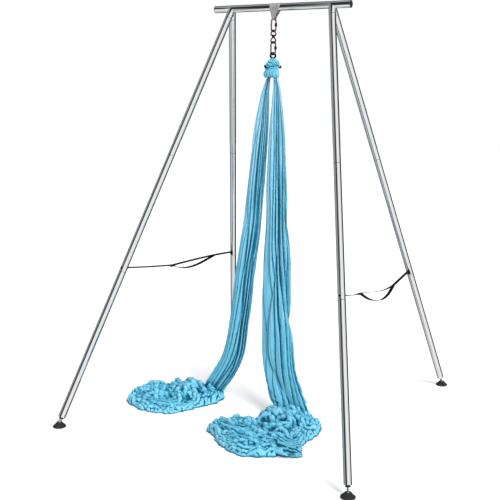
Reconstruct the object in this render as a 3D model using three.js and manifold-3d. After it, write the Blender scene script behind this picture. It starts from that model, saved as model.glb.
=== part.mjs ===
// Aerial rig. Two A-frames of polished steel tube carry a crossbar, and a length of silk hangs
// from its middle on a webbing sling, a carabiner, a swivel, a second carabiner and a rescue eight.
// Millimetres, +Z up, +X along the crossbar, -Y the front, origin on the floor below the crossbar.
import * as THREE from 'three';
import { mergeVertices } from 'three/addons/utils/BufferGeometryUtils.js';
import Module from 'manifold-3d';

const wasm = await Module();
wasm.setup();

// Frame
const barHeight = 2920;
const barLength = 1061;
const tubeDiameter = 50.8;
const tubeWall = 2.6;
const legTopSpacing = 776.8;
const frontFootSpacing = 2157;
const rearFootSpacing = 1961;
const footDepthSpacing = 2301;
const socketLength = 74;
const spigotLength = 90;
const upperSectionLength = 1078;
const frontMiddleLength = 895;
const rearMiddleLength = 978;
const capFlange = 4;
const capPlug = 20;
const capDome = 3;

// Bolts that pin the strap ends at the lower leg joints
const boltAboveSeam = 24;
const boltDiameter = 8;
const boltHeadWidth = 14;
const boltHeadHeight = 5.5;
const boltNutHeight = 6.5;
const boltEnd = 4;

// Levelling feet
const ballHeight = 32;
const ballDiameter = 22;
const neckDiameter = 12;
const studDiameter = 16;
const studInTube = 62;
const tubeEndAboveBall = 42;
const lockNutWidth = 28;
const lockNutHeight = 12;
const insertLength = 26;
const padDiameter = 92;
const padRimHeight = 9;
const padNeckDiameter = 38;
const socketLipAngle = 18;
const padFloorSkin = 3;

// Leg straps, in the plane of each A-frame
const webbingWidth = 25;
const webbingThickness = 1.6;
const strapTab = 14;
const strapRise = 8.5;
const strapBend = 6;
const sliderWidth = 36;
const sliderBar = 4.6;
const sliderSlot = 6;
const sliderThickness = 3.5;
const foldBack = 26;
const leftStrap = {
  sliderShare: 0.41, sliderDrop: 38, leadSag: 3,
  upperShares: [0.6], upperDrops: [17],
  lowerShares: [0.48, 0.56, 0.65, 0.73], lowerDrops: [66, 76, 62, 33],
  mergeShare: 0.8, mergeDrop: 4,
};
const rightStrap = {
  sliderShare: 0.225, sliderDrop: 26, leadSag: 8,
  upperShares: [0.42, 0.58], upperDrops: [52, 65],
  lowerShares: [0.32, 0.41, 0.5, 0.6], lowerDrops: [82, 110, 122, 105],
  mergeShare: 0.7, mergeDrop: 58,
};

// Hanging hardware
const hangSide = -52;
const linkTurn = 23;
const slingDrop = 87;
const slingWidth = 22;
const slingThickness = 3;
const slingBight = 11.5;
const slingTopOffsets = [-12, 14, 44];
const slingBottomOffset = 3;
const slingBunchShare = 0.5;
const carabinerHeight = 100;
const carabinerWidth = 60;
const carabinerRod = 11;
const spineRadius = 20;
const shoulderRadius = 16;
const noseAboveCentre = 24;
const hingeBelowCentre = 24;
const pivotAboveHinge = 6.2;
const gateDiameter = 10.8;
const gateSlot = 4.6;
const gateSlotDepth = 11;
const gateHeel = 2.5;
const tongueThickness = 3.8;
const tongueRadius = 4;
const hingePinDiameter = 2.8;
const noseGap = 0.8;
const sleeveLength = 24;
const sleeveDiameter = 17;
const sleeveBore = 12;
const sleeveBelowCentre = 12;
const bailRod = 9;
const bailHalfWidth = 19;
const bailApexHalfWidth = 11;
const bailApexRise = 4;
const bailShoulder = 29;
const bailDepth = 36;
const bailCorner = 13;
const hubDiameter = 24;
const hubHeight = 17;
const hubBelowBail = 32;
const shankDiameter = 10;
const shankHeadDiameter = 16;
const shankHeadHeight = 5;
const collarDiameter = 20;
const collarHeight = 5;
const ringRod = 9;
const ringRadius = 18;
const eightThickness = 10;
const eightBevel = 2.5;
const eightSmallRadius = 25;
const eightSmallHole = 13.5;
const eightLargeRadius = 45;
const eightLargeHole = 29;
const eightSpacing = 78;
const eightSlack = 1.2;
const eightWaist = 12;
const earReach = 62;
const earRise = 12;
const earThickness = 9;

// Silk
const knot = {
  height: 144, width: 124, depth: 92, folds: 6, foldShare: 0.06,
  riseShares: [0, 0.11, 0.32, 0.46, 0.63, 0.84, 1],
  sideShares: [-0.05, -0.065, -0.08, -0.065, -0.03, 0.016, 0.03],
  widthShares: [0.94, 1, 0.97, 0.87, 0.94, 0.77, 0.44],
  depthShares: [0.78, 0.91, 1, 0.87, 1, 0.87, 0.52],
};
const knotBelowEight = 86;
const tailGap = 0.6;
const swingRadius = 1900;
const leftTail = {
  topSide: -96, reach: -394, forward: 86, width: 196, depth: 96, footHeight: 40,
  folds: 10, foldShare: 0.13,
  fallShares: [0, 0.125, 0.285, 0.44, 0.597, 0.75, 0.89, 1],
  sideShares: [0, 0.083, 0.172, 0.258, 0.38, 0.46, 0.61, 1],
  forwardShares: [0, 0, 0, 0, 0, 0.1, 0.4, 1],
  widthShares: [0.2, 0.53, 0.7, 0.78, 0.84, 0.9, 1, 0.8],
  depthShares: [0.34, 0.68, 0.86, 0.92, 0.95, 0.97, 1, 0.75],
};
const rightTail = {
  topSide: -16, reach: 306, forward: 224, width: 256, depth: 106, footHeight: 44,
  folds: 8, foldShare: 0.12,
  fallShares: [0, 0.125, 0.285, 0.44, 0.6, 0.75, 0.89, 1],
  sideShares: [0, 0.025, 0.05, 0.085, 0.125, 0.22, 0.46, 1],
  forwardShares: [0, 0, 0, 0, 0, 0.13, 0.52, 1],
  widthShares: [0.17, 0.42, 0.62, 0.78, 0.93, 1, 0.93, 0.76],
  depthShares: [0.34, 0.68, 0.88, 0.95, 0.97, 1, 1, 0.8],
};
const leftPile = {
  side: -706, forward: 286, reach: 290, height: 126,
  reachShares: [0.94, 1.06, 1.24, 1.12, 0.93, 0.73, 0.55, 0.54, 0.68, 0.9, 1.06, 1.18, 1.1, 1.07, 1.05, 1.03,
    0.93, 0.89],
  mounds: [
    { sideShare: -0.62, foreShare: 0.1, spreadShare: 0.62, heightShare: 0.82 },
    { sideShare: 0.34, foreShare: -0.38, spreadShare: 0.66, heightShare: 1 },
  ],
};
const rightPile = {
  side: 192, forward: 564, reach: 345, height: 138,
  reachShares: [0.98, 1.08, 1.26, 1.3, 1.06, 0.82, 0.6, 0.56, 0.62, 0.94, 1.03, 0.9, 0.98, 1.02, 1.14, 1.13,
    1.1, 1.12],
  mounds: [
    { sideShare: 0.3, foreShare: -0.66, spreadShare: 0.62, heightShare: 1 },
    { sideShare: 0.86, foreShare: -0.66, spreadShare: 0.4, heightShare: 0.62 },
    { sideShare: -0.5, foreShare: 0.1, spreadShare: 0.56, heightShare: 0.56 },
    { sideShare: 0.36, foreShare: 0.62, spreadShare: 0.6, heightShare: 0.34 },
  ],
};
const pileRimHeight = 12;
const pileSides = 36;
const ruffleHeight = 12;
const ruffleLength = 96;

// Fits
const clearance = 0.3;
const runningClearance = 0.4;
const overrun = 10;

// Facets
const tubeSides = 14;
const barSides = 20;
const smallSides = 12;
const wireSides = 8;
const wireSteps = 24;
const bandSteps = 6;
const arcSteps = 5;
const pointsPerFold = 4;
const tailRings = 6;
const pileRings = 7;

const tubeRadius = tubeDiameter / 2;
const boreRadius = tubeRadius - tubeWall;
const spigotRadius = boreRadius - runningClearance;
const spigotBore = spigotRadius - tubeWall;

const chrome = new THREE.MeshStandardMaterial({ color: 0xc9cccf, roughness: 0.12, metalness: 1 });
const zinc = new THREE.MeshStandardMaterial({ color: 0xb4b7ba, roughness: 0.3, metalness: 1 });
const blackSteel = new THREE.MeshStandardMaterial({ color: 0x2a2b2d, roughness: 0.45, metalness: 0.7 });
const alloy = new THREE.MeshStandardMaterial({ color: 0xd2d5d8, roughness: 0.25, metalness: 1 });
const redAnodised = new THREE.MeshStandardMaterial({ color: 0x6e1426, roughness: 0.3, metalness: 0.8 });
const blackAnodised = new THREE.MeshStandardMaterial({ color: 0x1b1c1e, roughness: 0.35, metalness: 0.6 });
const rubber = new THREE.MeshStandardMaterial({ color: 0x26272a, roughness: 0.85, metalness: 0 });
const plastic = new THREE.MeshStandardMaterial({ color: 0x1d1e20, roughness: 0.5, metalness: 0 });
const blackWebbing = new THREE.MeshStandardMaterial({ color: 0x17181a, roughness: 0.9, metalness: 0 });
const greyWebbing = new THREE.MeshStandardMaterial({ color: 0x8f8e92, roughness: 0.9, metalness: 0 });
const silk = new THREE.MeshStandardMaterial({ color: 0x5cb6dc, roughness: 0.6, metalness: 0 });

const rig = new THREE.Group();

function signedVolume(position, index) {
  const a = new THREE.Vector3(), b = new THREE.Vector3(), c = new THREE.Vector3();
  let volume = 0;
  for (let i = 0; i < index.length; i += 3) {
    a.fromBufferAttribute(position, index[i]);
    b.fromBufferAttribute(position, index[i + 1]);
    c.fromBufferAttribute(position, index[i + 2]);
    volume += a.dot(b.cross(c));
  }
  return volume;
}

// A closed indexed geometry with shared vertices, no empty triangles and its faces outward
function closed(source) {
  const bare = source.clone();
  bare.deleteAttribute('normal');
  bare.deleteAttribute('uv');
  const merged = mergeVertices(bare);
  const index = [];
  const from = merged.index.array;
  for (let i = 0; i < from.length; i += 3) {
    const [a, b, c] = [from[i], from[i + 1], from[i + 2]];
    if (a !== b && b !== c && c !== a) index.push(a, b, c);
  }
  if (signedVolume(merged.attributes.position, index) < 0) index.reverse();
  merged.setIndex(index);
  return merged;
}

function toSolid(geometry) {
  const ready = closed(geometry);
  return new wasm.Manifold(new wasm.Mesh({
    numProp: 3,
    vertProperties: new Float32Array(ready.attributes.position.array),
    triVerts: new Uint32Array(ready.index.array),
  }));
}

function toGeometry(solid) {
  const raw = solid.getMesh();
  const geometry = new THREE.BufferGeometry();
  geometry.setAttribute('position', new THREE.BufferAttribute(new Float32Array(raw.vertProperties), 3));
  geometry.setIndex(new THREE.BufferAttribute(new Uint32Array(raw.triVerts), 1));
  return geometry;
}

function join(geometries) {
  return toGeometry(geometries.map(toSolid).reduce((whole, next) => whole.add(next)));
}

function cut(geometry, tools) {
  return toGeometry(tools.map(toSolid).reduce((whole, tool) => whole.subtract(tool), toSolid(geometry)));
}

function add(name, geometry, material, parent = rig) {
  const mesh = new THREE.Mesh(closed(geometry), material);
  mesh.name = name;
  parent.add(mesh);
  return mesh;
}

// Revolves a list of [radius, height] about Z. The list closes on itself or starts and ends at radius 0.
function revolve(profile, sides) {
  const points = profile.map(([radius, height]) => new THREE.Vector2(radius, height));
  if (profile[0][0] > 0) points.push(points[0].clone());
  return new THREE.LatheGeometry(points, sides).rotateX(Math.PI / 2);
}

function rod(radius, bottom, top, sides = smallSides) {
  return revolve([[0, bottom], [radius, bottom], [radius, top], [0, top]], sides);
}

function pipe(outer, inner, bottom, top, sides = tubeSides) {
  return revolve([[outer, bottom], [outer, top], [inner, top], [inner, bottom]], sides);
}

function hexagon(width, bottom, top) {
  return rod(width / Math.sqrt(3), bottom, top, 6);
}

// A flat path in X and Z as a curve in space
class FlatCurve extends THREE.Curve {
  constructor(path) {
    super();
    this.path = path;
  }

  getPoint(share) {
    const { x, y } = this.path.getPoint(share);
    return new THREE.Vector3(x, 0, y);
  }
}

function wire(path, diameter, steps = wireSteps) {
  const section = new THREE.Shape().absarc(0, 0, diameter / 2, 0, 2 * Math.PI);
  return new THREE.ExtrudeGeometry(section, {
    extrudePath: new FlatCurve(path), steps, curveSegments: wireSides,
  });
}

// Crossbar: a tube with four coped sockets, each ending in a spigot that a leg slides over
const side = { left: -1, right: 1 };
const legs = [];
for (const [sideName, sideSign] of Object.entries(side)) {
  for (const [endName, spacing, foreSign, middleLength] of [
    ['front', frontFootSpacing, -1, frontMiddleLength],
    ['rear', rearFootSpacing, 1, rearMiddleLength],
  ]) {
    const top = new THREE.Vector3(sideSign * legTopSpacing / 2, 0, barHeight);
    const ball = new THREE.Vector3(sideSign * spacing / 2, foreSign * footDepthSpacing / 2, ballHeight);
    legs.push({ name: `${endName}_${sideName}`, sideName, endName, sideSign, foreSign, top, ball, middleLength });
  }
}

// Each leg's frame has its origin on the crossbar's axis, Z up the leg and Y towards its partner
for (const leg of legs) {
  const partner = legs.find((other) => other.sideName === leg.sideName && other !== leg);
  const up = leg.top.clone().sub(leg.ball).normalize();
  const across = partner.ball.clone().sub(leg.ball);
  const inward = across.addScaledVector(up, -across.dot(up)).normalize();
  const sideways = inward.clone().cross(up);
  leg.length = leg.top.distanceTo(leg.ball);
  leg.boltAt = -(socketLength + upperSectionLength + leg.middleLength - boltAboveSeam);
  leg.frame = new THREE.Group();
  leg.frame.setRotationFromMatrix(new THREE.Matrix4().makeBasis(sideways, inward, up));
  leg.frame.position.copy(leg.top);
  leg.frame.updateMatrixWorld(true);
  rig.add(leg.frame);
}

const barTubeLength = barLength - 2 * capFlange;

function barPiece(radius, length) {
  return revolve([[0, -length / 2], [radius, -length / 2], [radius, length / 2], [0, length / 2]], barSides)
    .rotateY(Math.PI / 2).translate(0, 0, barHeight);
}

const sockets = legs.map((leg) => revolve([
  [0, 0], [tubeRadius, 0], [tubeRadius, -socketLength], [spigotRadius, -socketLength],
  [spigotRadius, -socketLength - spigotLength], [0, -socketLength - spigotLength],
], tubeSides).applyMatrix4(leg.frame.matrixWorld));
const socketBores = legs.map((leg) => rod(
  spigotBore, -socketLength - spigotLength - overrun, -tubeRadius - overrun, tubeSides,
).applyMatrix4(leg.frame.matrixWorld));
add('crossbar', cut(
  join([barPiece(tubeRadius, barTubeLength), ...sockets]),
  [barPiece(boreRadius, barTubeLength + overrun), ...socketBores],
), chrome);

for (const [sideName, sideSign] of Object.entries(side)) {
  const cap = revolve([
    [0, -capPlug], [boreRadius - runningClearance, -capPlug], [boreRadius - runningClearance, 0],
    [tubeRadius, 0], [tubeRadius, capFlange - capDome / 2], [tubeRadius - capDome, capFlange],
    [0, capFlange],
  ], barSides);
  cap.rotateY(sideSign * Math.PI / 2).translate(sideSign * (barTubeLength / 2 + clearance / 2), 0, barHeight);
  add(`bar_cap_${sideName}`, cap, plastic);
}

// Legs: three sections each, the upper two standing on the swaged spigot of the one below
const seam = clearance / 2;

function legSection(top, bottom, spigotHeight) {
  if (spigotHeight === 0) return pipe(tubeRadius, boreRadius, bottom + seam, top - seam);
  return revolve([
    [boreRadius, bottom + seam], [tubeRadius, bottom + seam], [tubeRadius, top - seam],
    [spigotRadius, top - seam], [spigotRadius, top + spigotHeight], [spigotBore, top + spigotHeight],
    [spigotBore, top - tubeWall * 2], [boreRadius, top - tubeWall * 3],
  ], tubeSides);
}

for (const leg of legs) {
  const upperTop = -socketLength;
  const middleTop = upperTop - upperSectionLength;
  const lowerTop = middleTop - leg.middleLength;
  const tubeEnd = -leg.length + tubeEndAboveBall;
  const boltHole = rod(boltDiameter / 2 + clearance, -tubeDiameter, tubeDiameter, wireSides)
    .rotateX(Math.PI / 2).translate(0, 0, leg.boltAt);
  add(`leg_${leg.name}_upper`, legSection(upperTop, middleTop, 0), chrome, leg.frame);
  add(`leg_${leg.name}_middle`, cut(legSection(middleTop, lowerTop, spigotLength), [boltHole]), chrome,
    leg.frame);
  add(`leg_${leg.name}_lower`, cut(legSection(lowerTop, tubeEnd, spigotLength), [boltHole]), chrome,
    leg.frame);
}

// Strap bolts, each with its nut outside the leg and its head over the strap's end
for (const leg of legs) {
  const tabs = leg.endName === 'front' ? 1 : 2;
  const headSeat = tubeRadius + tabs * (webbingThickness + clearance) + clearance;
  const nutSeat = tubeRadius + clearance;
  const bolt = join([
    rod(boltDiameter / 2, -nutSeat - boltNutHeight - boltEnd, headSeat + boltHeadHeight / 2),
    hexagon(boltHeadWidth, headSeat, headSeat + boltHeadHeight),
    hexagon(boltHeadWidth, -nutSeat - boltNutHeight, -nutSeat),
  ]).rotateX(-Math.PI / 2).translate(0, 0, leg.boltAt);
  add(`strap_bolt_${leg.name}`, bolt, blackSteel, leg.frame);
}

// Feet: a threaded insert in the tube's end, a lock nut, a ball stud and a rubber pad
const ballRadius = ballDiameter / 2;
const socketRadius = ballRadius + 2 * clearance;

function arcPoints(radius, height, from, to, steps) {
  return Array.from({ length: steps + 1 }, (_, step) => {
    const angle = THREE.MathUtils.degToRad(from + (to - from) * step / steps);
    return [radius * Math.cos(angle), height + radius * Math.sin(angle)];
  });
}

for (const leg of legs) {
  const tubeEnd = -leg.length + tubeEndAboveBall;
  const ballAt = -leg.length;
  const studRadius = studDiameter / 2;
  const neckAngle = THREE.MathUtils.radToDeg(Math.acos(neckDiameter / ballDiameter));
  add(`foot_insert_${leg.name}`, pipe(
    boreRadius - runningClearance, studRadius + runningClearance, tubeEnd, tubeEnd + insertLength,
  ), blackSteel, leg.frame);
  add(`foot_lock_nut_${leg.name}`, cut(
    hexagon(lockNutWidth, tubeEnd - clearance - lockNutHeight, tubeEnd - clearance),
    [rod(studRadius + runningClearance, tubeEnd - lockNutHeight - overrun, tubeEnd + overrun)],
  ), blackSteel, leg.frame);
  const ballArc = arcPoints(ballRadius, ballAt, -90, neckAngle, arcSteps);
  add(`foot_stud_${leg.name}`, revolve([
    [0, ballAt - ballRadius], ...ballArc.slice(1),
    [neckDiameter / 2, ballAt + ballRadius + clearance],
    [studRadius, ballAt + ballRadius + studRadius - neckDiameter / 2],
    [studRadius, ballAt + studInTube], [0, ballAt + studInTube],
  ], smallSides), zinc, leg.frame);

  const lip = arcPoints(socketRadius, ballHeight, socketLipAngle, -90, arcSteps);
  const lipHeight = lip[0][1];
  add(`foot_pad_${leg.name}`, revolve([
    [0, 0], [padDiameter / 2 - padFloorSkin, 0], [padDiameter / 2, padFloorSkin],
    [padDiameter / 2, padRimHeight], [padNeckDiameter / 2 + padRimHeight, lipHeight * 0.7],
    [padNeckDiameter / 2, lipHeight], ...lip.slice(0, -1), [0, ballHeight - socketRadius],
  ], tubeSides).translate(leg.ball.x, leg.ball.y, 0), rubber);
}

// Straps: drawn in the plane of the A-frame, as a centre line with the webbing's thickness
function beside(line, distance) {
  return line.map((point, i) => {
    const before = line[Math.max(i - 1, 0)], after = line[Math.min(i + 1, line.length - 1)];
    const along = after.clone().sub(before).normalize();
    return new THREE.Vector2(point.x - along.y * distance, point.y + along.x * distance);
  });
}

function band(line) {
  const half = webbingThickness / 2;
  return new THREE.ExtrudeGeometry(
    new THREE.Shape([...beside(line, half), ...beside(line, -half).reverse()]),
    { depth: webbingWidth, steps: 1, bevelEnabled: false },
  ).translate(0, 0, -webbingWidth / 2);
}

// The rounded end that lies on the leg under the bolt's head and turns out towards the strap
function tabLine(bolt, axis, out, seat) {
  const turn = Array.from({ length: 4 }, (_, step) => (step + 1) / 4 * Math.PI / 2);
  return [
    [-strapTab, 0], [0, 0], [strapRise, 0],
    ...turn.map((angle) => [strapRise + strapBend * Math.sin(angle), strapBend * (1 - Math.cos(angle))]),
  ].map(([lift, reach]) => bolt.clone().addScaledVector(axis, lift).addScaledVector(out, seat + reach));
}

function wrapRound(centre, radius, from, to) {
  return arcPoints(radius, 0, from, to, arcSteps)
    .map(([x, y]) => new THREE.Vector2(centre.x + x, centre.y + y));
}

function smooth(points, count) {
  return new THREE.SplineCurve(points).getPoints(count);
}

function strapHole(bolt, out, axis) {
  const across = new THREE.Vector3(0, 0, 1);
  const turn = new THREE.Matrix4().makeBasis(
    across, new THREE.Vector3(axis.x, axis.y, 0), new THREE.Vector3(-out.x, -out.y, 0));
  return rod(boltDiameter / 2 + clearance, -tubeDiameter, tubeDiameter)
    .applyMatrix4(turn).translate(bolt.x, bolt.y, 0);
}

for (const [sideName, strap] of [['left', leftStrap], ['right', rightStrap]]) {
  const [front, rear] = ['front', 'rear'].map((end) => legs.find(
    (leg) => leg.sideName === sideName && leg.endName === end));
  const [start, end] = [front, rear].map(
    (leg) => new THREE.Vector3(0, 0, leg.boltAt).applyMatrix4(leg.frame.matrixWorld));
  const span = end.distanceTo(start);
  const along = end.clone().sub(start).normalize();
  const across = along.clone().cross(front.top.clone().sub(front.ball)).normalize();
  const up = across.clone().cross(along);
  const frame = new THREE.Group();
  frame.setRotationFromMatrix(new THREE.Matrix4().makeBasis(along, up, across));
  frame.position.copy(start);
  rig.add(frame);

  const axisOf = (leg) => {
    const axis = leg.top.clone().sub(leg.ball).normalize();
    return new THREE.Vector2(axis.dot(along), axis.dot(up));
  };
  const [frontAxis, rearAxis] = [axisOf(front), axisOf(rear)];
  const frontOut = new THREE.Vector2(frontAxis.y, -frontAxis.x);
  const rearOut = new THREE.Vector2(-rearAxis.y, rearAxis.x);
  const frontBolt = new THREE.Vector2(0, 0), rearBolt = new THREE.Vector2(span, 0);

  const pitch = sliderBar + sliderSlot;
  const slider = new THREE.Vector2(span * strap.sliderShare, -strap.sliderDrop);
  const frontBar = new THREE.Vector2(slider.x - pitch, slider.y);
  const rearBar = new THREE.Vector2(slider.x + pitch, slider.y);
  const wrap = Math.hypot(sliderBar, sliderThickness) / 2 + clearance + webbingThickness / 2;

  // The lead runs from the front leg to the slider's front bar and folds back under itself
  const leadTab = tabLine(frontBolt, frontAxis, frontOut, tubeRadius + clearance + webbingThickness / 2);
  const leadEnd = leadTab[leadTab.length - 1];
  const leadReach = new THREE.Vector2(frontBar.x, frontBar.y + wrap);
  const leadSag = leadEnd.clone().lerp(leadReach, 0.5);
  leadSag.y -= strap.leadSag;
  add(`strap_${sideName}_lead`, cut(band([
    ...leadTab, ...smooth([leadEnd, leadSag, leadReach], bandSteps).slice(1, -1),
    ...wrapRound(frontBar, wrap, 90, -90),
    new THREE.Vector2(frontBar.x - foldBack, frontBar.y - wrap),
  ]), [strapHole(frontBolt, frontOut, frontAxis)]), blackWebbing, frame);

  // The loop lies double on the rear leg, parts where the lower strand sags, and rounds the rear bar
  const layer = (webbingThickness + clearance) / 2;
  const doubleTab = tabLine(rearBolt, rearAxis, rearOut,
    tubeRadius + clearance + webbingThickness / 2 + layer);
  const merge = new THREE.Vector2(span * strap.mergeShare, -strap.mergeDrop);
  const double = [merge, ...doubleTab.reverse()];
  const upperDouble = beside(double, layer), lowerDouble = beside(double, -layer);
  const strand = (shares, drops) => shares.map((share, i) => new THREE.Vector2(span * share, -drops[i]));
  const upperStrand = smooth([
    new THREE.Vector2(rearBar.x, rearBar.y + wrap), ...strand(strap.upperShares, strap.upperDrops),
    upperDouble[0],
  ], bandSteps);
  const lowerStrand = smooth([
    new THREE.Vector2(rearBar.x, rearBar.y - wrap), ...strand(strap.lowerShares, strap.lowerDrops),
    lowerDouble[0],
  ], 2 * bandSteps);
  add(`strap_${sideName}_loop`, cut(band([
    ...upperDouble.reverse(), ...upperStrand.reverse().slice(1, -1),
    ...wrapRound(rearBar, wrap, 90, 270),
    ...lowerStrand.slice(1, -1), ...lowerDouble,
  ]), [strapHole(rearBolt, rearOut, rearAxis)]), blackWebbing, frame);

  // The slider: a plate with two slots
  const slots = [-1, 1].map((slotSide) => new THREE.BoxGeometry(
    sliderSlot, sliderThickness + 2 * overrun, webbingWidth + 2 * runningClearance,
  ).translate(slotSide * pitch / 2, 0, 0));
  const plate = new THREE.BoxGeometry(2 * pitch + sliderBar, sliderThickness, sliderWidth);
  add(`strap_${sideName}_slider`, cut(plate, slots).translate(slider.x, slider.y, 0), plastic, frame);
}

// Sling: three strands of webbing looped over the crossbar and bunched on the carabiner
function beltPath(large, small, distance) {
  const lean = Math.asin((large - small) / distance);
  return new THREE.Path()
    .absarc(0, 0, large, -lean, Math.PI + lean)
    .absarc(0, -distance, small, Math.PI + lean, 2 * Math.PI - lean);
}

function slingStrand(topSide, bottomSide) {
  const distance = slingDrop - slingBight;
  const inner = beltPath(tubeRadius + runningClearance, slingBight, distance);
  const outer = beltPath(
    tubeRadius + runningClearance + slingThickness, slingBight + slingThickness, distance);
  const shape = new THREE.Shape(outer.getPoints(bandSteps));
  shape.holes.push(new THREE.Path(inner.getPoints(bandSteps)));
  const strand = closed(new THREE.ExtrudeGeometry(shape, { depth: slingWidth, bevelEnabled: false })
    .translate(0, 0, -slingWidth / 2).rotateX(Math.PI / 2).rotateZ(Math.PI / 2));
  const position = strand.attributes.position;
  for (let i = 0; i < position.count; i += 1) {
    const drop = THREE.MathUtils.clamp(-position.getZ(i) / distance, 0, 1);
    const place = THREE.MathUtils.lerp(topSide, bottomSide, drop);
    position.setX(i, place + position.getX(i) * THREE.MathUtils.lerp(1, slingBunchShare, drop));
  }
  return strand;
}

const sling = join(slingTopOffsets.map((offset, i) => slingStrand(offset, (i - 1) * slingBottomOffset)));
add('sling', sling.translate(hangSide, 0, barHeight), greyWebbing);

// Heights down the hanging chain, where each wire's middle line crosses the next
const carabinerReach = carabinerHeight - carabinerRod;
const bightHalfWidth = slingWidth * slingBunchShare / 2 + slingBottomOffset;
const bightSway = bightHalfWidth * Math.tan(THREE.MathUtils.degToRad(linkTurn));
const bightBend = bightHalfWidth ** 2 / (2 * spineRadius);
const bightRoom = slingBight - carabinerRod / 2 - bightBend;
const upperCarabinerTop = barHeight - slingDrop + slingBight - Math.sqrt(bightRoom ** 2 - bightSway ** 2);
const bailTop = upperCarabinerTop - carabinerReach + (carabinerRod + bailRod) / 2 + runningClearance;
const hubTop = bailTop - hubBelowBail;
const hubBottom = hubTop - hubHeight;
const collarTop = hubBottom - runningClearance;
const ringTop = collarTop - collarHeight;
const ringBottom = ringTop - 2 * ringRadius;
const lowerCarabinerTop = ringBottom + (carabinerRod + ringRod) / 2 + runningClearance;
const eightMiddle = lowerCarabinerTop - carabinerReach + carabinerRod / 2 + eightSlack - eightSmallHole;
const largeMiddle = eightMiddle - eightSpacing;

function hangingGroup(height, turn) {
  const group = new THREE.Group();
  group.position.set(hangSide, 0, height);
  group.rotation.z = THREE.MathUtils.degToRad(turn);
  group.updateMatrixWorld(true);
  rig.add(group);
  return group;
}

// Screwgate carabiners: a bent wire body, a gate on a hinge pin and a sleeve screwed back off the nose
function addCarabiner(prefix, top) {
  const group = hangingGroup(top - carabinerReach / 2, -linkTurn);
  const halfWidth = (carabinerWidth - carabinerRod) / 2;
  const halfHeight = carabinerReach / 2;
  const pivot = -hingeBelowCentre + pivotAboveHinge;
  const path = new THREE.Path().moveTo(halfWidth, noseAboveCentre)
    .lineTo(halfWidth, halfHeight - shoulderRadius)
    .absarc(halfWidth - shoulderRadius, halfHeight - shoulderRadius, shoulderRadius, 0, Math.PI / 2)
    .absarc(spineRadius - halfWidth, halfHeight - spineRadius, spineRadius, Math.PI / 2, Math.PI)
    .absarc(spineRadius - halfWidth, spineRadius - halfHeight, spineRadius, Math.PI, 1.5 * Math.PI)
    .absarc(halfWidth - shoulderRadius, shoulderRadius - halfHeight, shoulderRadius,
      1.5 * Math.PI, 2 * Math.PI)
    .lineTo(halfWidth, -hingeBelowCentre);
  const tongue = join([
    rod(tongueRadius, -tongueThickness / 2, tongueThickness / 2).rotateX(Math.PI / 2),
    new THREE.BoxGeometry(2 * tongueRadius, tongueThickness, pivotAboveHinge + carabinerRod / 4)
      .translate(0, 0, -(pivotAboveHinge + carabinerRod / 4) / 2),
  ]).translate(halfWidth, 0, pivot);
  const pinHole = rod(hingePinDiameter / 2 + clearance, -carabinerRod, carabinerRod)
    .rotateX(Math.PI / 2).translate(halfWidth, 0, pivot);
  add(`${prefix}_body`, cut(join([wire(path, carabinerRod), tongue]), [pinHole]), alloy, group);

  const slot = new THREE.BoxGeometry(gateDiameter + overrun, gateSlot, gateSlotDepth + overrun)
    .translate(0, 0, pivot - gateHeel + (gateSlotDepth - overrun) / 2);
  const gateRod = rod(gateDiameter / 2, pivot - gateHeel, noseAboveCentre - noseGap);
  const pin = rod(hingePinDiameter / 2, -gateDiameter / 2 + clearance, gateDiameter / 2 - clearance, wireSides)
    .rotateX(Math.PI / 2).translate(0, 0, pivot);
  add(`${prefix}_gate`, join([cut(gateRod, [slot]), pin]).translate(halfWidth, 0, 0), alloy, group);

  const sleeve = pipe(sleeveDiameter / 2, sleeveBore / 2, -sleeveBelowCentre,
    sleeveLength - sleeveBelowCentre, smallSides);
  add(`${prefix}_sleeve`, sleeve.translate(halfWidth, 0, 0), redAnodised, group);
}

addCarabiner('upper_carabiner', upperCarabinerTop);
addCarabiner('lower_carabiner', lowerCarabinerTop);

// Swivel: a red bail and hub above, and below it a black ring on a headed shank through the hub
const swivelGroup = hangingGroup(bailTop, 90 - linkTurn - 20);
const bailPath = new THREE.Path()
  .moveTo(-hubDiameter / 2 + runningClearance * 4, -bailDepth)
  .lineTo(-bailCorner, -bailDepth)
  .quadraticCurveTo(-bailHalfWidth, -bailDepth, -bailHalfWidth, -bailShoulder)
  .lineTo(-bailApexHalfWidth, -bailApexRise)
  .quadraticCurveTo(0, bailApexRise, bailApexHalfWidth, -bailApexRise)
  .lineTo(bailHalfWidth, -bailShoulder)
  .quadraticCurveTo(bailHalfWidth, -bailDepth, bailCorner, -bailDepth)
  .lineTo(hubDiameter / 2 - runningClearance * 4, -bailDepth);
const shankBore = shankDiameter / 2 + clearance;
const headBore = shankHeadDiameter / 2 + clearance;
const headSeat = -hubHeight / 2 - hubBelowBail;
const hub = revolve([
  [shankBore, -hubBelowBail - hubHeight], [hubDiameter / 2, -hubBelowBail - hubHeight],
  [hubDiameter / 2, -hubBelowBail], [headBore, -hubBelowBail], [headBore, headSeat], [shankBore, headSeat],
], tubeSides);
add('swivel_bail', join([wire(bailPath, bailRod), hub]), redAnodised, swivelGroup);

const ringMiddle = ringTop - ringRadius - bailTop;
const ringPath = new THREE.Path().absarc(0, ringMiddle, ringRadius, Math.PI / 2 - 0.3, -1.5 * Math.PI + 0.3, true);
const collarLevel = collarTop - bailTop;
const shank = revolve([
  [0, collarLevel - collarHeight], [collarDiameter / 2, collarLevel - collarHeight],
  [collarDiameter / 2, collarLevel], [shankDiameter / 2, collarLevel],
  [shankDiameter / 2, headSeat + clearance], [shankHeadDiameter / 2, headSeat + clearance],
  [shankHeadDiameter / 2, headSeat + clearance + shankHeadHeight],
  [0, headSeat + clearance + shankHeadHeight],
], tubeSides);
add('swivel_ring', join([wire(ringPath, ringRod), shank]), blackAnodised, swivelGroup);

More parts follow.
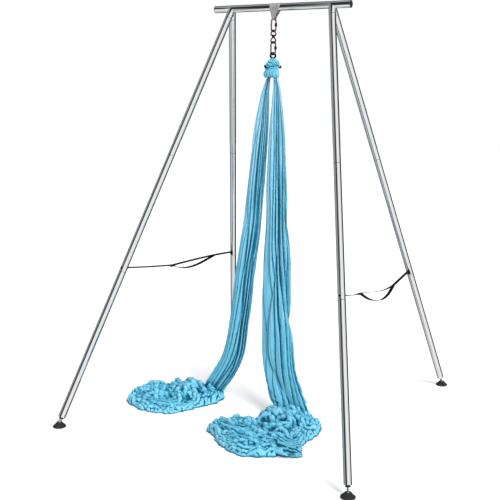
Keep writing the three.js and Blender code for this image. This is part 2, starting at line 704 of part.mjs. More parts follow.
// Rescue eight: a forged plate with a small ring above, a large ring below and an ear each side
const eightGroup = hangingGroup(largeMiddle, 90 - linkTurn - 20);
const onLarge = (degrees) => new THREE.Vector2(
  eightLargeRadius * Math.cos(THREE.MathUtils.degToRad(degrees)),
  eightLargeRadius * Math.sin(THREE.MathUtils.degToRad(degrees)));

function eightShape() {
  const shape = new THREE.Shape();
  const rad = THREE.MathUtils.degToRad;
  const shoulder = onLarge(122), earTop = onLarge(176), earUnder = onLarge(193);
  shape.absarc(0, eightSpacing, eightSmallRadius, rad(-55), rad(235));
  shape.quadraticCurveTo(-eightWaist, (eightLargeRadius + eightSpacing - eightSmallRadius) / 2,
    shoulder.x, shoulder.y);
  shape.absarc(0, 0, eightLargeRadius, rad(122), rad(176));
  shape.lineTo(-earReach + earThickness, earTop.y);
  shape.lineTo(-earReach, earRise);
  shape.lineTo(-earReach - earThickness / 2, earRise / 2);
  shape.quadraticCurveTo(-earReach - earThickness / 4, earUnder.y, -earReach + earThickness, earUnder.y);
  shape.lineTo(earUnder.x, earUnder.y);
  shape.absarc(0, 0, eightLargeRadius, rad(193), rad(347));
  shape.lineTo(earReach - earThickness, earUnder.y);
  shape.quadraticCurveTo(earReach + earThickness / 4, earUnder.y, earReach + earThickness / 2, earRise / 2);
  shape.lineTo(earReach, earRise);
  shape.lineTo(earReach - earThickness, earTop.y);
  shape.lineTo(-earTop.x, earTop.y);
  shape.absarc(0, 0, eightLargeRadius, rad(4), rad(58));
  shape.quadraticCurveTo(eightWaist, (eightLargeRadius + eightSpacing - eightSmallRadius) / 2,
    eightSmallRadius * Math.cos(rad(-55)), eightSpacing + eightSmallRadius * Math.sin(rad(-55)));
  return shape;
}

function eightPlate(grow) {
  const plate = new THREE.ExtrudeGeometry(eightShape(), {
    depth: eightThickness - 2 * eightBevel + 2 * grow, curveSegments: wireSides,
    bevelThickness: eightBevel, bevelSize: eightBevel, bevelOffset: grow - eightBevel, bevelSegments: 1,
  }).translate(0, 0, -eightThickness / 2 + eightBevel - grow);
  const hole = (radius, height) => revolve([
    [0, -eightThickness], [radius - grow, -eightThickness], [radius - grow, eightThickness],
    [0, eightThickness],
  ], tubeSides).translate(0, height, 0);
  return cut(plate, [hole(eightSmallHole, eightSpacing), hole(eightLargeHole, 0)]).rotateX(Math.PI / 2);
}

add('rescue_eight', eightPlate(0), blackAnodised, eightGroup);

// Silk: lofted through rings of gathered folds, from the knot down two tails to the piles on the floor
function loft(rings, firstCentre, lastCentre) {
  const count = rings[0].length;
  const points = [...rings.flat(), firstCentre, lastCentre];
  const index = [];
  for (let i = 0; i < count; i += 1) {
    const next = (i + 1) % count;
    index.push(points.length - 2, next, i);
    index.push(points.length - 1, (rings.length - 1) * count + i, (rings.length - 1) * count + next);
    for (let row = 0; row < (rings.length - 1) * count; row += count) {
      index.push(row + i, row + next, row + count + next, row + i, row + count + next, row + count + i);
    }
  }
  const geometry = new THREE.BufferGeometry().setFromPoints(points);
  geometry.setIndex(index);
  return geometry;
}

function along(shares, values, at) {
  return new THREE.CubicInterpolant(shares, values, 1).evaluate(at)[0];
}

// One ring of folds about a centre; height gives each point's Z from its Y
function foldRing(centre, halfWidth, halfDepth, form, height) {
  return Array.from({ length: form.folds * pointsPerFold }, (_, i) => {
    const angle = 2 * Math.PI * i / (form.folds * pointsPerFold);
    const reach = 1 - form.foldShare + form.foldShare * Math.cos(form.folds * angle);
    const y = centre.y + halfDepth * reach * Math.sin(angle);
    return new THREE.Vector3(centre.x + halfWidth * reach * Math.cos(angle), y, height(y));
  });
}

const tailTopHeight = largeMiddle - knotBelowEight;
const knotLevels = knot.riseShares.flatMap((share, i, all) => (
  i === 0 ? [share] : [(share + all[i - 1]) / 2, share]));
const knotRings = knotLevels.map((share) => {
  const at = (values) => along(knot.riseShares, values, share);
  const centre = new THREE.Vector2(hangSide + knot.width * at(knot.sideShares), 0);
  return foldRing(centre, knot.width * at(knot.widthShares) / 2, knot.depth * at(knot.depthShares) / 2, knot,
    () => tailTopHeight + knot.height * share);
});
const knotTop = new THREE.Vector3(hangSide, 0, tailTopHeight + knot.height);
add('silk_knot', cut(loft(knotRings, new THREE.Vector3(hangSide, 0, tailTopHeight), knotTop), [
  eightPlate(clearance).applyMatrix4(eightGroup.matrixWorld),
]), silk);

// A stretch of one tail. Rings are level except where the tail is parted on the swing's own arc.
function tailStretch(tail, from, to, startHeight, endHeight, grow) {
  const place = (share, height) => {
    const at = (values) => along(tail.fallShares, values, share);
    const centre = new THREE.Vector2(
      tail.topSide + tail.reach * at(tail.sideShares), -tail.forward * at(tail.forwardShares));
    const ring = foldRing(centre, tail.width * at(tail.widthShares) / 2 + grow,
      tail.depth * at(tail.depthShares) / 2 + grow, tail, height);
    return { ring, middle: new THREE.Vector3(centre.x, centre.y, height(centre.y)) };
  };
  const fall = tailTopHeight - tail.footHeight;
  const stages = Array.from({ length: tailRings + 1 }, (_, i) => {
    const share = THREE.MathUtils.lerp(from, to, i / tailRings);
    if (i === 0) return place(share, startHeight);
    if (i === tailRings) return place(share, endHeight);
    return place(share, () => tailTopHeight - fall * share);
  });
  return loft(stages.map((stage) => stage.ring), stages[0].middle, stages[tailRings].middle);
}

const arcHeight = (radius) => (y) => barHeight - Math.sqrt(radius ** 2 - y ** 2);

// A pile: rounded mounds of cloth inside the outline that it has on the floor, with a flat underside
function pileForm(pile) {
  const outline = new THREE.CatmullRomCurve3(pile.reachShares.map((share, i, all) => {
    const angle = 2 * Math.PI * i / all.length;
    return new THREE.Vector3(Math.cos(angle), Math.sin(angle), 0).multiplyScalar(share);
  }), true).getPoints(pileSides).slice(0, -1);
  const top = (place, ringShare) => {
    const mound = Math.max(...pile.mounds.map(({ sideShare, foreShare, spreadShare, heightShare }) => {
      const away = Math.hypot(place.x - sideShare, place.y + foreShare) / spreadShare;
      return heightShare * Math.exp(-(away ** 2));
    }));
    const wave = 2 * Math.PI * pile.reach / ruffleLength;
    const ruffle = Math.sin(wave * place.x) * Math.sin(wave * place.y);
    const room = (pile.height - pileRimHeight - ruffleHeight) * Math.sqrt(1 - ringShare ** 3);
    return pileRimHeight + mound * room + ruffleHeight * (1 + ruffle) / 2;
  };
  const row = (ringShare, height) => outline.map((point) => {
    const place = point.clone().multiplyScalar(ringShare);
    return new THREE.Vector3(pile.reach * place.x, pile.reach * place.y, height(place));
  });
  const rings = Array.from({ length: pileRings }, (_, i) => {
    const ringShare = (i + 1) / pileRings;
    return row(ringShare, (place) => top(place, ringShare));
  });
  const middle = new THREE.Vector3(0, 0, top(new THREE.Vector3(), 0));
  return loft([...rings, row(1, () => 0)], middle, new THREE.Vector3()).translate(pile.side, -pile.forward, 0);
}

for (const [sideName, tail, pile] of [['left', leftTail, leftPile], ['right', rightTail, rightPile]]) {
  const partShare = (tailTopHeight - barHeight + swingRadius) / (tailTopHeight - tail.footHeight);
  const foot = (lower, grow) => tailStretch(tail, partShare, 1,
    arcHeight(swingRadius + tailGap), () => tail.footHeight - lower, grow);
  add(`silk_${sideName}_upper`, tailStretch(tail, 0, partShare,
    () => tailTopHeight - tailGap, arcHeight(swingRadius), 0), silk);
  add(`silk_${sideName}_lower`, foot(0, 0), silk);
  add(`silk_${sideName}_pile`, cut(pileForm(pile), [foot(clearance, 4 * clearance)]), silk);
}

export default rig;
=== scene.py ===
"""Aerial rig: a chromed A-frame with a length of blue silk hung from its crossbar."""

import math

import bpy
import numpy as np
from mathutils import Matrix, Vector
from mathutils.bvhtree import BVHTree


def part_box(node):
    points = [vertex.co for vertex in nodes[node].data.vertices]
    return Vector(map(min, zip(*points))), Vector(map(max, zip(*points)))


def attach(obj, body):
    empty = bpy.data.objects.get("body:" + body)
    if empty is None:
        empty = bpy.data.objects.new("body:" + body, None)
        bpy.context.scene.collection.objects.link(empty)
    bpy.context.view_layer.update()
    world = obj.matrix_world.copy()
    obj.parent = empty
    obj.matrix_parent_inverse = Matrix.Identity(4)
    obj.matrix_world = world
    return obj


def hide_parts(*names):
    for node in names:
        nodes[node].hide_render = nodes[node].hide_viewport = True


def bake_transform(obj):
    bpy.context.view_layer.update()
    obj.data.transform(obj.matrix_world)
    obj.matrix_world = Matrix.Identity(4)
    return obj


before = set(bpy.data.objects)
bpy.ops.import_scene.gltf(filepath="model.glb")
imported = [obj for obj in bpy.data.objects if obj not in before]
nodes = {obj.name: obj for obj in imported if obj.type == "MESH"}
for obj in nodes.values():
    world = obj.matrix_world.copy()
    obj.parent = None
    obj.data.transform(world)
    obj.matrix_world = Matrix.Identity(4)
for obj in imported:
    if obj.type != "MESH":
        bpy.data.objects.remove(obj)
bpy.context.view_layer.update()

# Camera: the viewpoint that was fitted to the four legs and the crossbar. It is 2.2 m up, in front of
# the rig's right side, and looks slightly down.
camera = bpy.data.objects.new("camera", bpy.data.cameras.new("camera"))
camera.data.sensor_width = 36
camera.data.lens = 61.08
eye = Vector((2.7332, -5.5013, 2.2312))
yaw, pitch, roll = -0.4912, -0.1679, 0.01748
ahead = Vector((math.sin(yaw) * math.cos(pitch), math.cos(yaw) * math.cos(pitch), math.sin(pitch)))
level_right = Vector((math.cos(yaw), -math.sin(yaw), 0))
level_up = level_right.cross(ahead)
right = level_right * math.cos(roll) + level_up * math.sin(roll)
up = level_up * math.cos(roll) - level_right * math.sin(roll)
facing_rig = Matrix((right, up, -ahead)).transposed().to_4x4()
camera.matrix_world = Matrix.Translation(eye) @ facing_rig
bpy.context.scene.collection.objects.link(camera)
bpy.context.scene.camera = camera
bpy.context.scene.view_settings.view_transform = "Standard"


# Studio floor: a seamless sheet of matt white paper under the rig. It shows white to the camera and to
# the metal, and keeps the rig's soft shadow.
def linear(hex_colour):
    """sRGB hex to linear RGBA"""
    parts = [int(hex_colour[i:i + 2], 16) / 255 for i in (1, 3, 5)]
    return [p / 12.92 if p <= 0.04045 else ((p + 0.055) / 1.055) ** 2.4 for p in parts] + [1]


def spots(millimetres):
    """The Scale of a noise texture whose spots are this far apart"""
    return 1000 / millimetres


def add_node(tree, kind, sockets=None, **settings):
    """A node with its settings. A socket takes a value or another node's output."""
    made = tree.nodes.new(kind)
    for name, value in settings.items():
        setattr(made, name, value)
    for name, value in (sockets or {}).items():
        if isinstance(value, bpy.types.NodeSocket):
            tree.links.new(value, made.inputs[name])
        else:
            made.inputs[name].default_value = value
    return made


def new_mesh(name, points, faces, material, body=None):
    """A smooth-shaded object from points and faces in metres, riding on a body"""
    mesh = bpy.data.meshes.new(name)
    mesh.from_pydata([tuple(p) for p in points], [], [tuple(f) for f in faces])
    mesh.polygons.foreach_set("use_smooth", [True] * len(mesh.polygons))
    mesh.materials.append(material)
    made = bpy.data.objects.new(name, mesh)
    bpy.context.scene.collection.objects.link(made)
    if body:
        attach(made, body)
    return made


def new_material(name, **surface):
    """A material and its Principled shader, with the uniform values on the shader's own sockets"""
    material = bpy.data.materials.new(name)
    material.use_nodes = True
    shader = material.node_tree.nodes["Principled BSDF"]
    for socket, value in surface.items():
        shader.inputs[socket.replace("_", " ").title().replace("Ior", "IOR")].default_value = value
    return material, material.node_tree, shader


floor_material, tree, shader = new_material("matt_white_floor_sheet", roughness=0.9)
shader.inputs["Base Color"].default_value = linear("#f4f4f4")
place = add_node(tree, "ShaderNodeTexCoord")
specks = add_node(tree, "ShaderNodeTexNoise", {"Vector": place.outputs["Object"], "Scale": spots(25)})
grain = add_node(tree, "ShaderNodeBump", {"Height": specks.outputs["Fac"], "Strength": 0.02})
tree.links.new(grain.outputs["Normal"], shader.inputs["Normal"])
path = add_node(tree, "ShaderNodeLightPath")
seen = add_node(tree, "ShaderNodeMath", {0: path.outputs["Is Camera Ray"],
                                         1: path.outputs["Is Glossy Ray"]}, operation="MAXIMUM")
seen = add_node(tree, "ShaderNodeMath", {0: seen.outputs[0], 1: path.outputs["Is Transmission Ray"]},
                operation="MAXIMUM")
lift = add_node(tree, "ShaderNodeMath", {0: seen.outputs[0], 1: 0.42}, operation="MULTIPLY")
tree.links.new(lift.outputs[0], shader.inputs["Emission Strength"])
shader.inputs["Emission Color"].default_value = (1, 1, 1, 1)
floor_reach = 40
floor_corners = [(x * floor_reach, y * floor_reach, 0) for x, y in ((-1, -1), (1, -1), (1, 1), (-1, 1))]
floor = new_mesh("floor", floor_corners, [(0, 1, 2, 3)], floor_material)
floor.visible_glossy = False  # the metal sees the studio walls below the horizon too

# Studio light: one wide soft lamp from the front right, and walls for the metal to reflect. A white wall
# stands on the right and a grey one on the left, and the dark gaps beside them draw the tubes' lines.
world = bpy.data.worlds.new("studio")
bpy.context.scene.world = world
world.use_nodes = True
tree = world.node_tree
tree.nodes.clear()
place = add_node(tree, "ShaderNodeTexCoord")
facing = add_node(tree, "ShaderNodeSeparateXYZ", {"Vector": place.outputs["Generated"]})
behind = add_node(tree, "ShaderNodeMath", {0: facing.outputs["Y"], 1: -1.0}, operation="MULTIPLY")
bearing = add_node(tree, "ShaderNodeMath", {0: facing.outputs["X"], 1: behind.outputs[0]},
                   operation="ARCTAN2")
turn = add_node(tree, "ShaderNodeMapRange", {"Value": bearing.outputs[0], "From Min": -math.pi,
                                             "From Max": math.pi})
# Grey tone of the walls by bearing in degrees, from the front over the right side, above and below
# the horizon
wall_tones = {
    "above": [(-180, 0.06), (-128, 0.06), (-116, 0.28), (-46, 0.33), (-39, 0.03), (-7, 0.03),
              (4, 0.3), (13, 0.75), (22, 0.92), (88, 0.92), (106, 0.7), (116, 0.3), (123, 0.05),
              (180, 0.05)],
    "below": [(-180, 0.06), (-128, 0.06), (-116, 0.28), (-48, 0.31), (-43, 0.88), (-26, 0.88),
              (-23, 0.03), (-7, 0.03), (4, 0.3), (13, 0.75), (22, 0.92), (88, 0.92), (106, 0.7),
              (116, 0.3), (123, 0.05), (180, 0.05)]}
ground_tone, ceiling_tone = 0.84, 0.33
walls = {}
for half, tones in wall_tones.items():
    walls[half] = add_node(tree, "ShaderNodeValToRGB", {"Fac": turn.outputs[0]})
    stops = walls[half].color_ramp.elements
    for i, (degrees, tone) in enumerate(tones):
        share = degrees / 360 + 0.5
        stop = stops[i] if i < 2 else stops.new(share)
        stop.position, stop.color = share, (tone, tone, tone, 1)
rise = facing.outputs["Z"]
level = add_node(tree, "ShaderNodeMapRange", {"Value": rise, "From Min": -0.2, "From Max": 0.2})
ground = add_node(tree, "ShaderNodeMapRange", {"Value": rise, "From Min": -0.78, "From Max": -0.86})
ceiling = add_node(tree, "ShaderNodeMapRange", {"Value": rise, "From Min": 0.82, "From Max": 0.92})
studio = add_node(tree, "ShaderNodeMix", {"Factor": level.outputs[0],
                                          6: walls["below"].outputs["Color"],
                                          7: walls["above"].outputs["Color"]}, data_type="RGBA")
for part, tone in ((ground, ground_tone), (ceiling, ceiling_tone)):
    studio = add_node(tree, "ShaderNodeMix", {"Factor": part.outputs[0], 6: studio.outputs[2],
                                              7: (tone, tone, tone, 1)}, data_type="RGBA")
path = add_node(tree, "ShaderNodeLightPath")
open_view = add_node(tree, "ShaderNodeMath", {0: path.outputs["Is Camera Ray"],
                                              1: path.outputs["Is Transmission Ray"]},
                     operation="MAXIMUM")
shown = add_node(tree, "ShaderNodeMix", {"Factor": open_view.outputs[0], 6: studio.outputs[2],
                                         7: (1, 1, 1, 1)}, data_type="RGBA")
background = add_node(tree, "ShaderNodeBackground", {"Color": shown.outputs[2], "Strength": 1.0})
seen = add_node(tree, "ShaderNodeMath", {0: open_view.outputs[0], 1: path.outputs["Is Glossy Ray"]},
                operation="MAXIMUM")
fill = add_node(tree, "ShaderNodeBackground", {"Color": (1, 1, 1, 1), "Strength": 0.32})
both = add_node(tree, "ShaderNodeMixShader", {"Fac": seen.outputs[0], 1: fill.outputs[0],
                                              2: background.outputs[0]})
add_node(tree, "ShaderNodeOutputWorld", {"Surface": both.outputs[0]})

lamp = bpy.data.objects.new("soft_lamp", bpy.data.lights.new("soft_lamp", "SUN"))
lamp.data.energy = 2.9
lamp.data.angle = math.radians(26)
lamp_bearing, lamp_rise = math.radians(60), 0.95
lamp_from = Vector((math.sin(lamp_bearing), -math.cos(lamp_bearing), lamp_rise)).normalized()
lamp.rotation_euler = lamp_from.to_track_quat("Z", "Y").to_euler()
lamp.visible_glossy = False  # the chrome shows the studio walls and no round lamp
bpy.context.scene.collection.objects.link(lamp)

# Frame tubes: 2 inch steel tube, polished and chromed, in three sections a leg that plug together.
# The chrome gives bright mirror bands with faint hazy wipe marks along them.
chrome, tree, shader = new_material("polished_chrome_tube", metallic=1.0, roughness=0.07)
place = add_node(tree, "ShaderNodeTexCoord")
haze = add_node(tree, "ShaderNodeTexNoise", {"Vector": place.outputs["Object"], "Scale": spots(111),
                                             "Detail": 6.0, "Roughness": 0.65})
rub = add_node(tree, "ShaderNodeMapRange", {"Value": haze.outputs["Fac"], "From Min": 0.35,
                                            "From Max": 0.75, "To Min": 0.04, "To Max": 0.11})
tree.links.new(rub.outputs[0], shader.inputs["Roughness"])
tint = add_node(tree, "ShaderNodeMix", {"Factor": haze.outputs["Fac"], 6: linear("#eaecee"),
                                        7: linear("#f7f8f9")}, data_type="RGBA")
tree.links.new(tint.outputs[2], shader.inputs["Base Color"])
# Wipe marks are about 1 mm apart and are drawn at 2.5 mm, so that they show.
marks = add_node(tree, "ShaderNodeTexNoise", {"Vector": place.outputs["Object"], "Scale": spots(2.5),
                                              "Detail": 2.0})
wiped = add_node(tree, "ShaderNodeBump", {"Height": marks.outputs["Fac"], "Strength": 0.012,
                                          "Distance": 0.001})
tree.links.new(wiped.outputs["Normal"], shader.inputs["Normal"])

# The CAD meshes come as loose flat triangles. This modifier joins them and shades the round faces
# smooth, up to the bend that a real edge has.
join_within = 0.00001
sharpest_bend = math.radians(46)
smoothing = bpy.data.node_groups.new("smooth_round_faces", "GeometryNodeTree")
smoothing.interface.new_socket("Mesh", in_out="INPUT", socket_type="NodeSocketGeometry")
smoothing.interface.new_socket("Mesh", in_out="OUTPUT", socket_type="NodeSocketGeometry")
start = add_node(smoothing, "NodeGroupInput")
joined = add_node(smoothing, "GeometryNodeMergeByDistance", {"Geometry": start.outputs["Mesh"],
                                                             "Distance": join_within})
bend = add_node(smoothing, "GeometryNodeInputMeshEdgeAngle")
sharp = add_node(smoothing, "FunctionNodeCompare", {0: bend.outputs["Unsigned Angle"],
                                                    1: sharpest_bend}, operation="GREATER_THAN")
shaded = add_node(smoothing, "GeometryNodeSetMeshNormal", {"Mesh": joined.outputs["Geometry"],
                                                           "Edge Sharpness": sharp.outputs["Result"]},
                  mode="SHARPNESS")
add_node(smoothing, "NodeGroupOutput", {"Mesh": shaded.outputs["Mesh"]})


def finish_cad(material, *names):
    """Gives CAD nodes their material and smooth round faces"""
    for name in names:
        nodes[name].data.materials.clear()
        nodes[name].data.materials.append(material)
        nodes[name].modifiers.new("smooth_round_faces", "NODES").node_group = smoothing


legs = [f"{end}_{side}" for end in ("front", "rear") for side in ("left", "right")]
finish_cad(chrome, "crossbar",
           *(f"leg_{leg}_{part}" for leg in legs for part in ("upper", "middle", "lower")))

# Joint rings: the thin dark line round each leg where one tube stops against the next. The ring sits in
# the open gap between their rounded ends and is painted shade, the shade inside that gap, mottled at
# random.
gap_shade_material, tree, shader = new_material("painted_gap_shade", roughness=0.6)
place = add_node(tree, "ShaderNodeTexCoord")
mottle = add_node(tree, "ShaderNodeTexNoise", {"Vector": place.outputs["Object"], "Scale": spots(6.7),
                                             "Detail": 3.0})
tint = add_node(tree, "ShaderNodeMix", {"Factor": mottle.outputs["Fac"], 6: linear("#17181a"),
                                        7: linear("#3a3b3d")}, data_type="RGBA")
tree.links.new(tint.outputs[2], shader.inputs["Base Color"])
leg_top = Vector((0.3884, 0, 2.92))
leg_feet = {"front": Vector((1.0785, -1.1505, 0.032)), "rear": Vector((0.9805, 1.1505, 0.032))}
joint_places = {"front": (0.074, 1.152, 2.047), "rear": (0.074, 1.152, 2.13)}
ring_section = [(0.0252, -0.0013), (0.02555, -0.0009), (0.0257, -0.0004), (0.0257, 0.0004),
                (0.02555, 0.0009), (0.0252, 0.0013)]
ring_sides = 48


def leg_line(leg):
    """Where a leg's centre line starts in the crossbar, where it ends in its pad, and its way down"""
    end, side = leg.split("_")
    flip = Vector((-1 if side == "left" else 1, 1, 1))
    top, foot = leg_top * flip, leg_feet[end] * flip
    return top, foot, (foot - top).normalized()


def grid_faces(rows, columns, closed, first=0):
    """Quads of a grid of points, joined round where it is closed"""
    wide = columns if closed else columns - 1
    return [(first + r * columns + c, first + r * columns + (c + 1) % columns,
             first + (r + 1) * columns + (c + 1) % columns, first + (r + 1) * columns + c)
            for r in range(rows - 1) for c in range(wide)]


for leg in legs:
    top, _, down = leg_line(leg)
    across = down.orthogonal().normalized()
    other = down.cross(across)
    angles = [2 * math.pi * i / ring_sides for i in range(ring_sides)]
    for label, along in zip(("top", "upper", "lower"), joint_places[leg.split("_")[0]]):
        middle = top + down * along
        points = [middle + down * height + (across * math.cos(a) + other * math.sin(a)) * radius
                  for radius, height in ring_section for a in angles]
        faces = grid_faces(len(ring_section), ring_sides, True)
        # each ring is painted shade: a dark band standing in the shaded gap of a joint
        ring = new_mesh(f"shaded_gap_ring_{leg}_{label}", points, faces, gap_shade_material, "frame")

# Bar caps and strap sliders: black nylon, moulded. It has a fine spark-eroded grain and a soft dull
# shine that is rubbed in places.
nylon, tree, shader = new_material("moulded_black_nylon", roughness=0.48, ior=1.53)
place = add_node(tree, "ShaderNodeTexCoord")
# The grain is 0.1 mm wide and is drawn at 1.1 mm, so that it shows.
grain = add_node(tree, "ShaderNodeTexNoise", {"Vector": place.outputs["Object"], "Scale": spots(1.1),
                                              "Detail": 2.0})
tint = add_node(tree, "ShaderNodeMix", {"Factor": grain.outputs["Fac"], 6: linear("#202123"),
                                        7: linear("#2e2f32")}, data_type="RGBA")
tree.links.new(tint.outputs[2], shader.inputs["Base Color"])
worn = add_node(tree, "ShaderNodeTexNoise", {"Vector": place.outputs["Object"], "Scale": spots(17),
                                             "Detail": 4.0})
rub = add_node(tree, "ShaderNodeMapRange", {"Value": worn.outputs["Fac"], "To Min": 0.38,
                                            "To Max": 0.6})
tree.links.new(rub.outputs[0], shader.inputs["Roughness"])
moulded = add_node(tree, "ShaderNodeBump", {"Height": grain.outputs["Fac"], "Strength": 0.25,
                                            "Distance": 0.0004})
tree.links.new(moulded.outputs["Normal"], shader.inputs["Normal"])
finish_cad(nylon, "bar_cap_left", "bar_cap_right", "strap_left_slider", "strap_right_slider")

# Strap bolts, tube inserts and lock nuts: steel with a black oxide finish, machined. The finish is
# satin and lets brown-grey steel through where tools and hands rub it.
oxide, tree, shader = new_material("black_oxide_steel", metallic=1.0, roughness=0.4)
place = add_node(tree, "ShaderNodeTexCoord")
worn = add_node(tree, "ShaderNodeTexNoise", {"Vector": place.outputs["Object"], "Scale": spots(8.3),
                                             "Detail": 5.0, "Roughness": 0.7})
patch = add_node(tree, "ShaderNodeMapRange", {"Value": worn.outputs["Fac"], "From Min": 0.5,
                                              "From Max": 0.8})
tint = add_node(tree, "ShaderNodeMix", {"Factor": patch.outputs[0], 6: linear("#2a2a2c"),
                                        7: linear("#5a5855")}, data_type="RGBA")
tree.links.new(tint.outputs[2], shader.inputs["Base Color"])
rub = add_node(tree, "ShaderNodeMapRange", {"Value": worn.outputs["Fac"], "To Min": 0.3,
                                            "To Max": 0.52})
tree.links.new(rub.outputs[0], shader.inputs["Roughness"])
finish_cad(oxide, *(f"{part}_{leg}" for leg in legs
                    for part in ("strap_bolt", "foot_insert", "foot_lock_nut")))

# Levelling studs: M16 steel studs with a ball end, zinc plated. The thread catches the light in fine
# bands and the ball is smooth and silver.
zinc, tree, shader = new_material("zinc_plated_stud", metallic=1.0, roughness=0.3)
place = add_node(tree, "ShaderNodeTexCoord")
cloudy = add_node(tree, "ShaderNodeTexNoise", {"Vector": place.outputs["Object"],
                                               "Scale": spots(12.5), "Detail": 4.0})
tint = add_node(tree, "ShaderNodeMix", {"Factor": cloudy.outputs["Fac"], 6: linear("#b9bdc1"),
                                        7: linear("#dde0e2")}, data_type="RGBA")
tree.links.new(tint.outputs[2], shader.inputs["Base Color"])
rub = add_node(tree, "ShaderNodeMapRange", {"Value": cloudy.outputs["Fac"], "To Min": 0.2,
                                            "To Max": 0.4})
tree.links.new(rub.outputs[0], shader.inputs["Roughness"])
finish_cad(zinc, *(f"foot_stud_{leg}" for leg in legs))

# Stud threads: the 2 mm pitch thread of each M16 stud, rolled in the steel between lock nut and ball.
# Its root lies inside the stud and its crest just clears the lock nut's bore.
thread_pitch, thread_turns, thread_steps = 0.002, 5, 20
thread_start = 0.0145
thread_root, crest_rise = 0.0074, 0.00066
root_half, crest_half = 0.0009, 0.0001
for leg in legs:
    _, foot, down = leg_line(leg)
    back_up = -down
    across = back_up.orthogonal().normalized()
    other = back_up.cross(across)
    points = []
    for i in range(thread_turns * thread_steps + 1):
        turned = i / thread_steps
        angle = 2 * math.pi * turned
        reach = across * math.cos(angle) + other * math.sin(angle)
        middle = foot + back_up * (thread_start + thread_pitch * turned)
        crest = thread_root + crest_rise * min(1, turned, thread_turns - turned)
        for radius, rise in ((thread_root, -root_half), (crest, -crest_half), (crest, crest_half),
                             (thread_root, root_half)):
            points.append(middle + reach * radius + back_up * rise)
    thread = new_mesh(f"stud_thread_{leg}", points, grid_faces(len(points) // 4, 4, False), zinc,
                      f"stud_{leg}")

# Foot pads: rubber pads moulded round a socket for the ball. The rubber is dark grey, dull and a little
# dusty near the floor.
rubber, tree, shader = new_material("moulded_black_rubber", roughness=0.75, ior=1.52)
place = add_node(tree, "ShaderNodeTexCoord")
height = add_node(tree, "ShaderNodeSeparateXYZ", {"Vector": place.outputs["Object"]})
low = add_node(tree, "ShaderNodeMapRange", {"Value": height.outputs["Z"], "From Min": 0.0,
                                            "From Max": 0.012, "To Min": 1.0, "To Max": 0.0})
mottle = add_node(tree, "ShaderNodeTexNoise", {"Vector": place.outputs["Object"], "Scale": spots(4.5),
                                             "Detail": 5.0})
dusty = add_node(tree, "ShaderNodeMath", {0: low.outputs[0], 1: mottle.outputs["Fac"]},
                 operation="MULTIPLY")
tint = add_node(tree, "ShaderNodeMix", {"Factor": dusty.outputs[0], 6: linear("#2b2c2e"),
                                        7: linear("#66676a")}, data_type="RGBA")
tree.links.new(tint.outputs[2], shader.inputs["Base Color"])
pebbled = add_node(tree, "ShaderNodeBump", {"Height": mottle.outputs["Fac"], "Strength": 0.3,
                                            "Distance": 0.0005})
tree.links.new(pebbled.outputs["Normal"], shader.inputs["Normal"])
finish_cad(rubber, *(f"foot_pad_{leg}" for leg in legs))


# Straps: 25 mm polyester webbing that ties each side's legs together, with the ends sewn back round the
# bolts. The weave shows as fine ribs across the band and takes the light dully.
def bands(millimetres):
    """The Scale of a wave texture whose bands are this far apart"""
    return 100 * math.pi / millimetres


webbing, tree, shader = new_material("woven_black_webbing", roughness=0.85)
shader.inputs["Specular IOR Level"].default_value = 0.25
place = add_node(tree, "ShaderNodeTexCoord")
# The yarns are 1.2 mm apart and are drawn at 2.4 mm, so that they show.
ribs = add_node(tree, "ShaderNodeTexWave", {"Vector": place.outputs["Object"], "Scale": bands(2.4),
                                            "Distortion": 0.6, "Detail": 1.0}, bands_direction="Y")
cords = add_node(tree, "ShaderNodeTexWave", {"Vector": place.outputs["Object"], "Scale": bands(3.1),
                                             "Distortion": 0.4}, bands_direction="Z")
weave = add_node(tree, "ShaderNodeMath", {0: ribs.outputs["Fac"], 1: cords.outputs["Fac"]},
                 operation="MULTIPLY")
tint = add_node(tree, "ShaderNodeMix", {"Factor": weave.outputs[0], 6: linear("#0b0b0d"),
                                        7: linear("#26272a")}, data_type="RGBA")
tree.links.new(tint.outputs[2], shader.inputs["Base Color"])
raised = add_node(tree, "ShaderNodeBump", {"Height": weave.outputs[0], "Strength": 0.6,
                                           "Distance": 0.0006})
tree.links.new(raised.outputs["Normal"], shader.inputs["Normal"])
eased_edge, yarn_fullness = 0.0004, 0.0004


def woven_copy(name, piece_name, material):
    """A piece of webbing with the run of its CAD solid, its corners eased as woven edges are"""
    made = bpy.data.objects.new(piece_name, nodes[name].data.copy())
    bpy.context.scene.collection.objects.link(made)
    made.data.materials.clear()
    made.data.materials.append(material)
    made.modifiers.new("joined", "WELD").merge_threshold = join_within
    ease = made.modifiers.new("eased_edges", "BEVEL")
    ease.width, ease.segments, ease.angle_limit = eased_edge, 2, math.radians(50)
    full = made.modifiers.new("full_yarns", "DISPLACE")
    full.strength, full.mid_level = yarn_fullness, 0
    made.modifiers.new("smooth_round_faces", "NODES").node_group = smoothing
    return made


for side in ("left", "right"):
    for part in ("lead", "loop"):
        strap = woven_copy(f"strap_{side}_{part}", f"webbing_{side}_{part}", webbing)
        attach(strap, "frame")
        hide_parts(f"strap_{side}_{part}")

# Sling: a round sling of grey nylon webbing, looped three times over the crossbar. The bands are ribbed
# along their length and bunch up where they meet in the carabiner.
sling_webbing, tree, shader = new_material("woven_grey_webbing", roughness=0.8)
shader.inputs["Sheen Weight"].default_value = 0.3
place = add_node(tree, "ShaderNodeTexCoord")
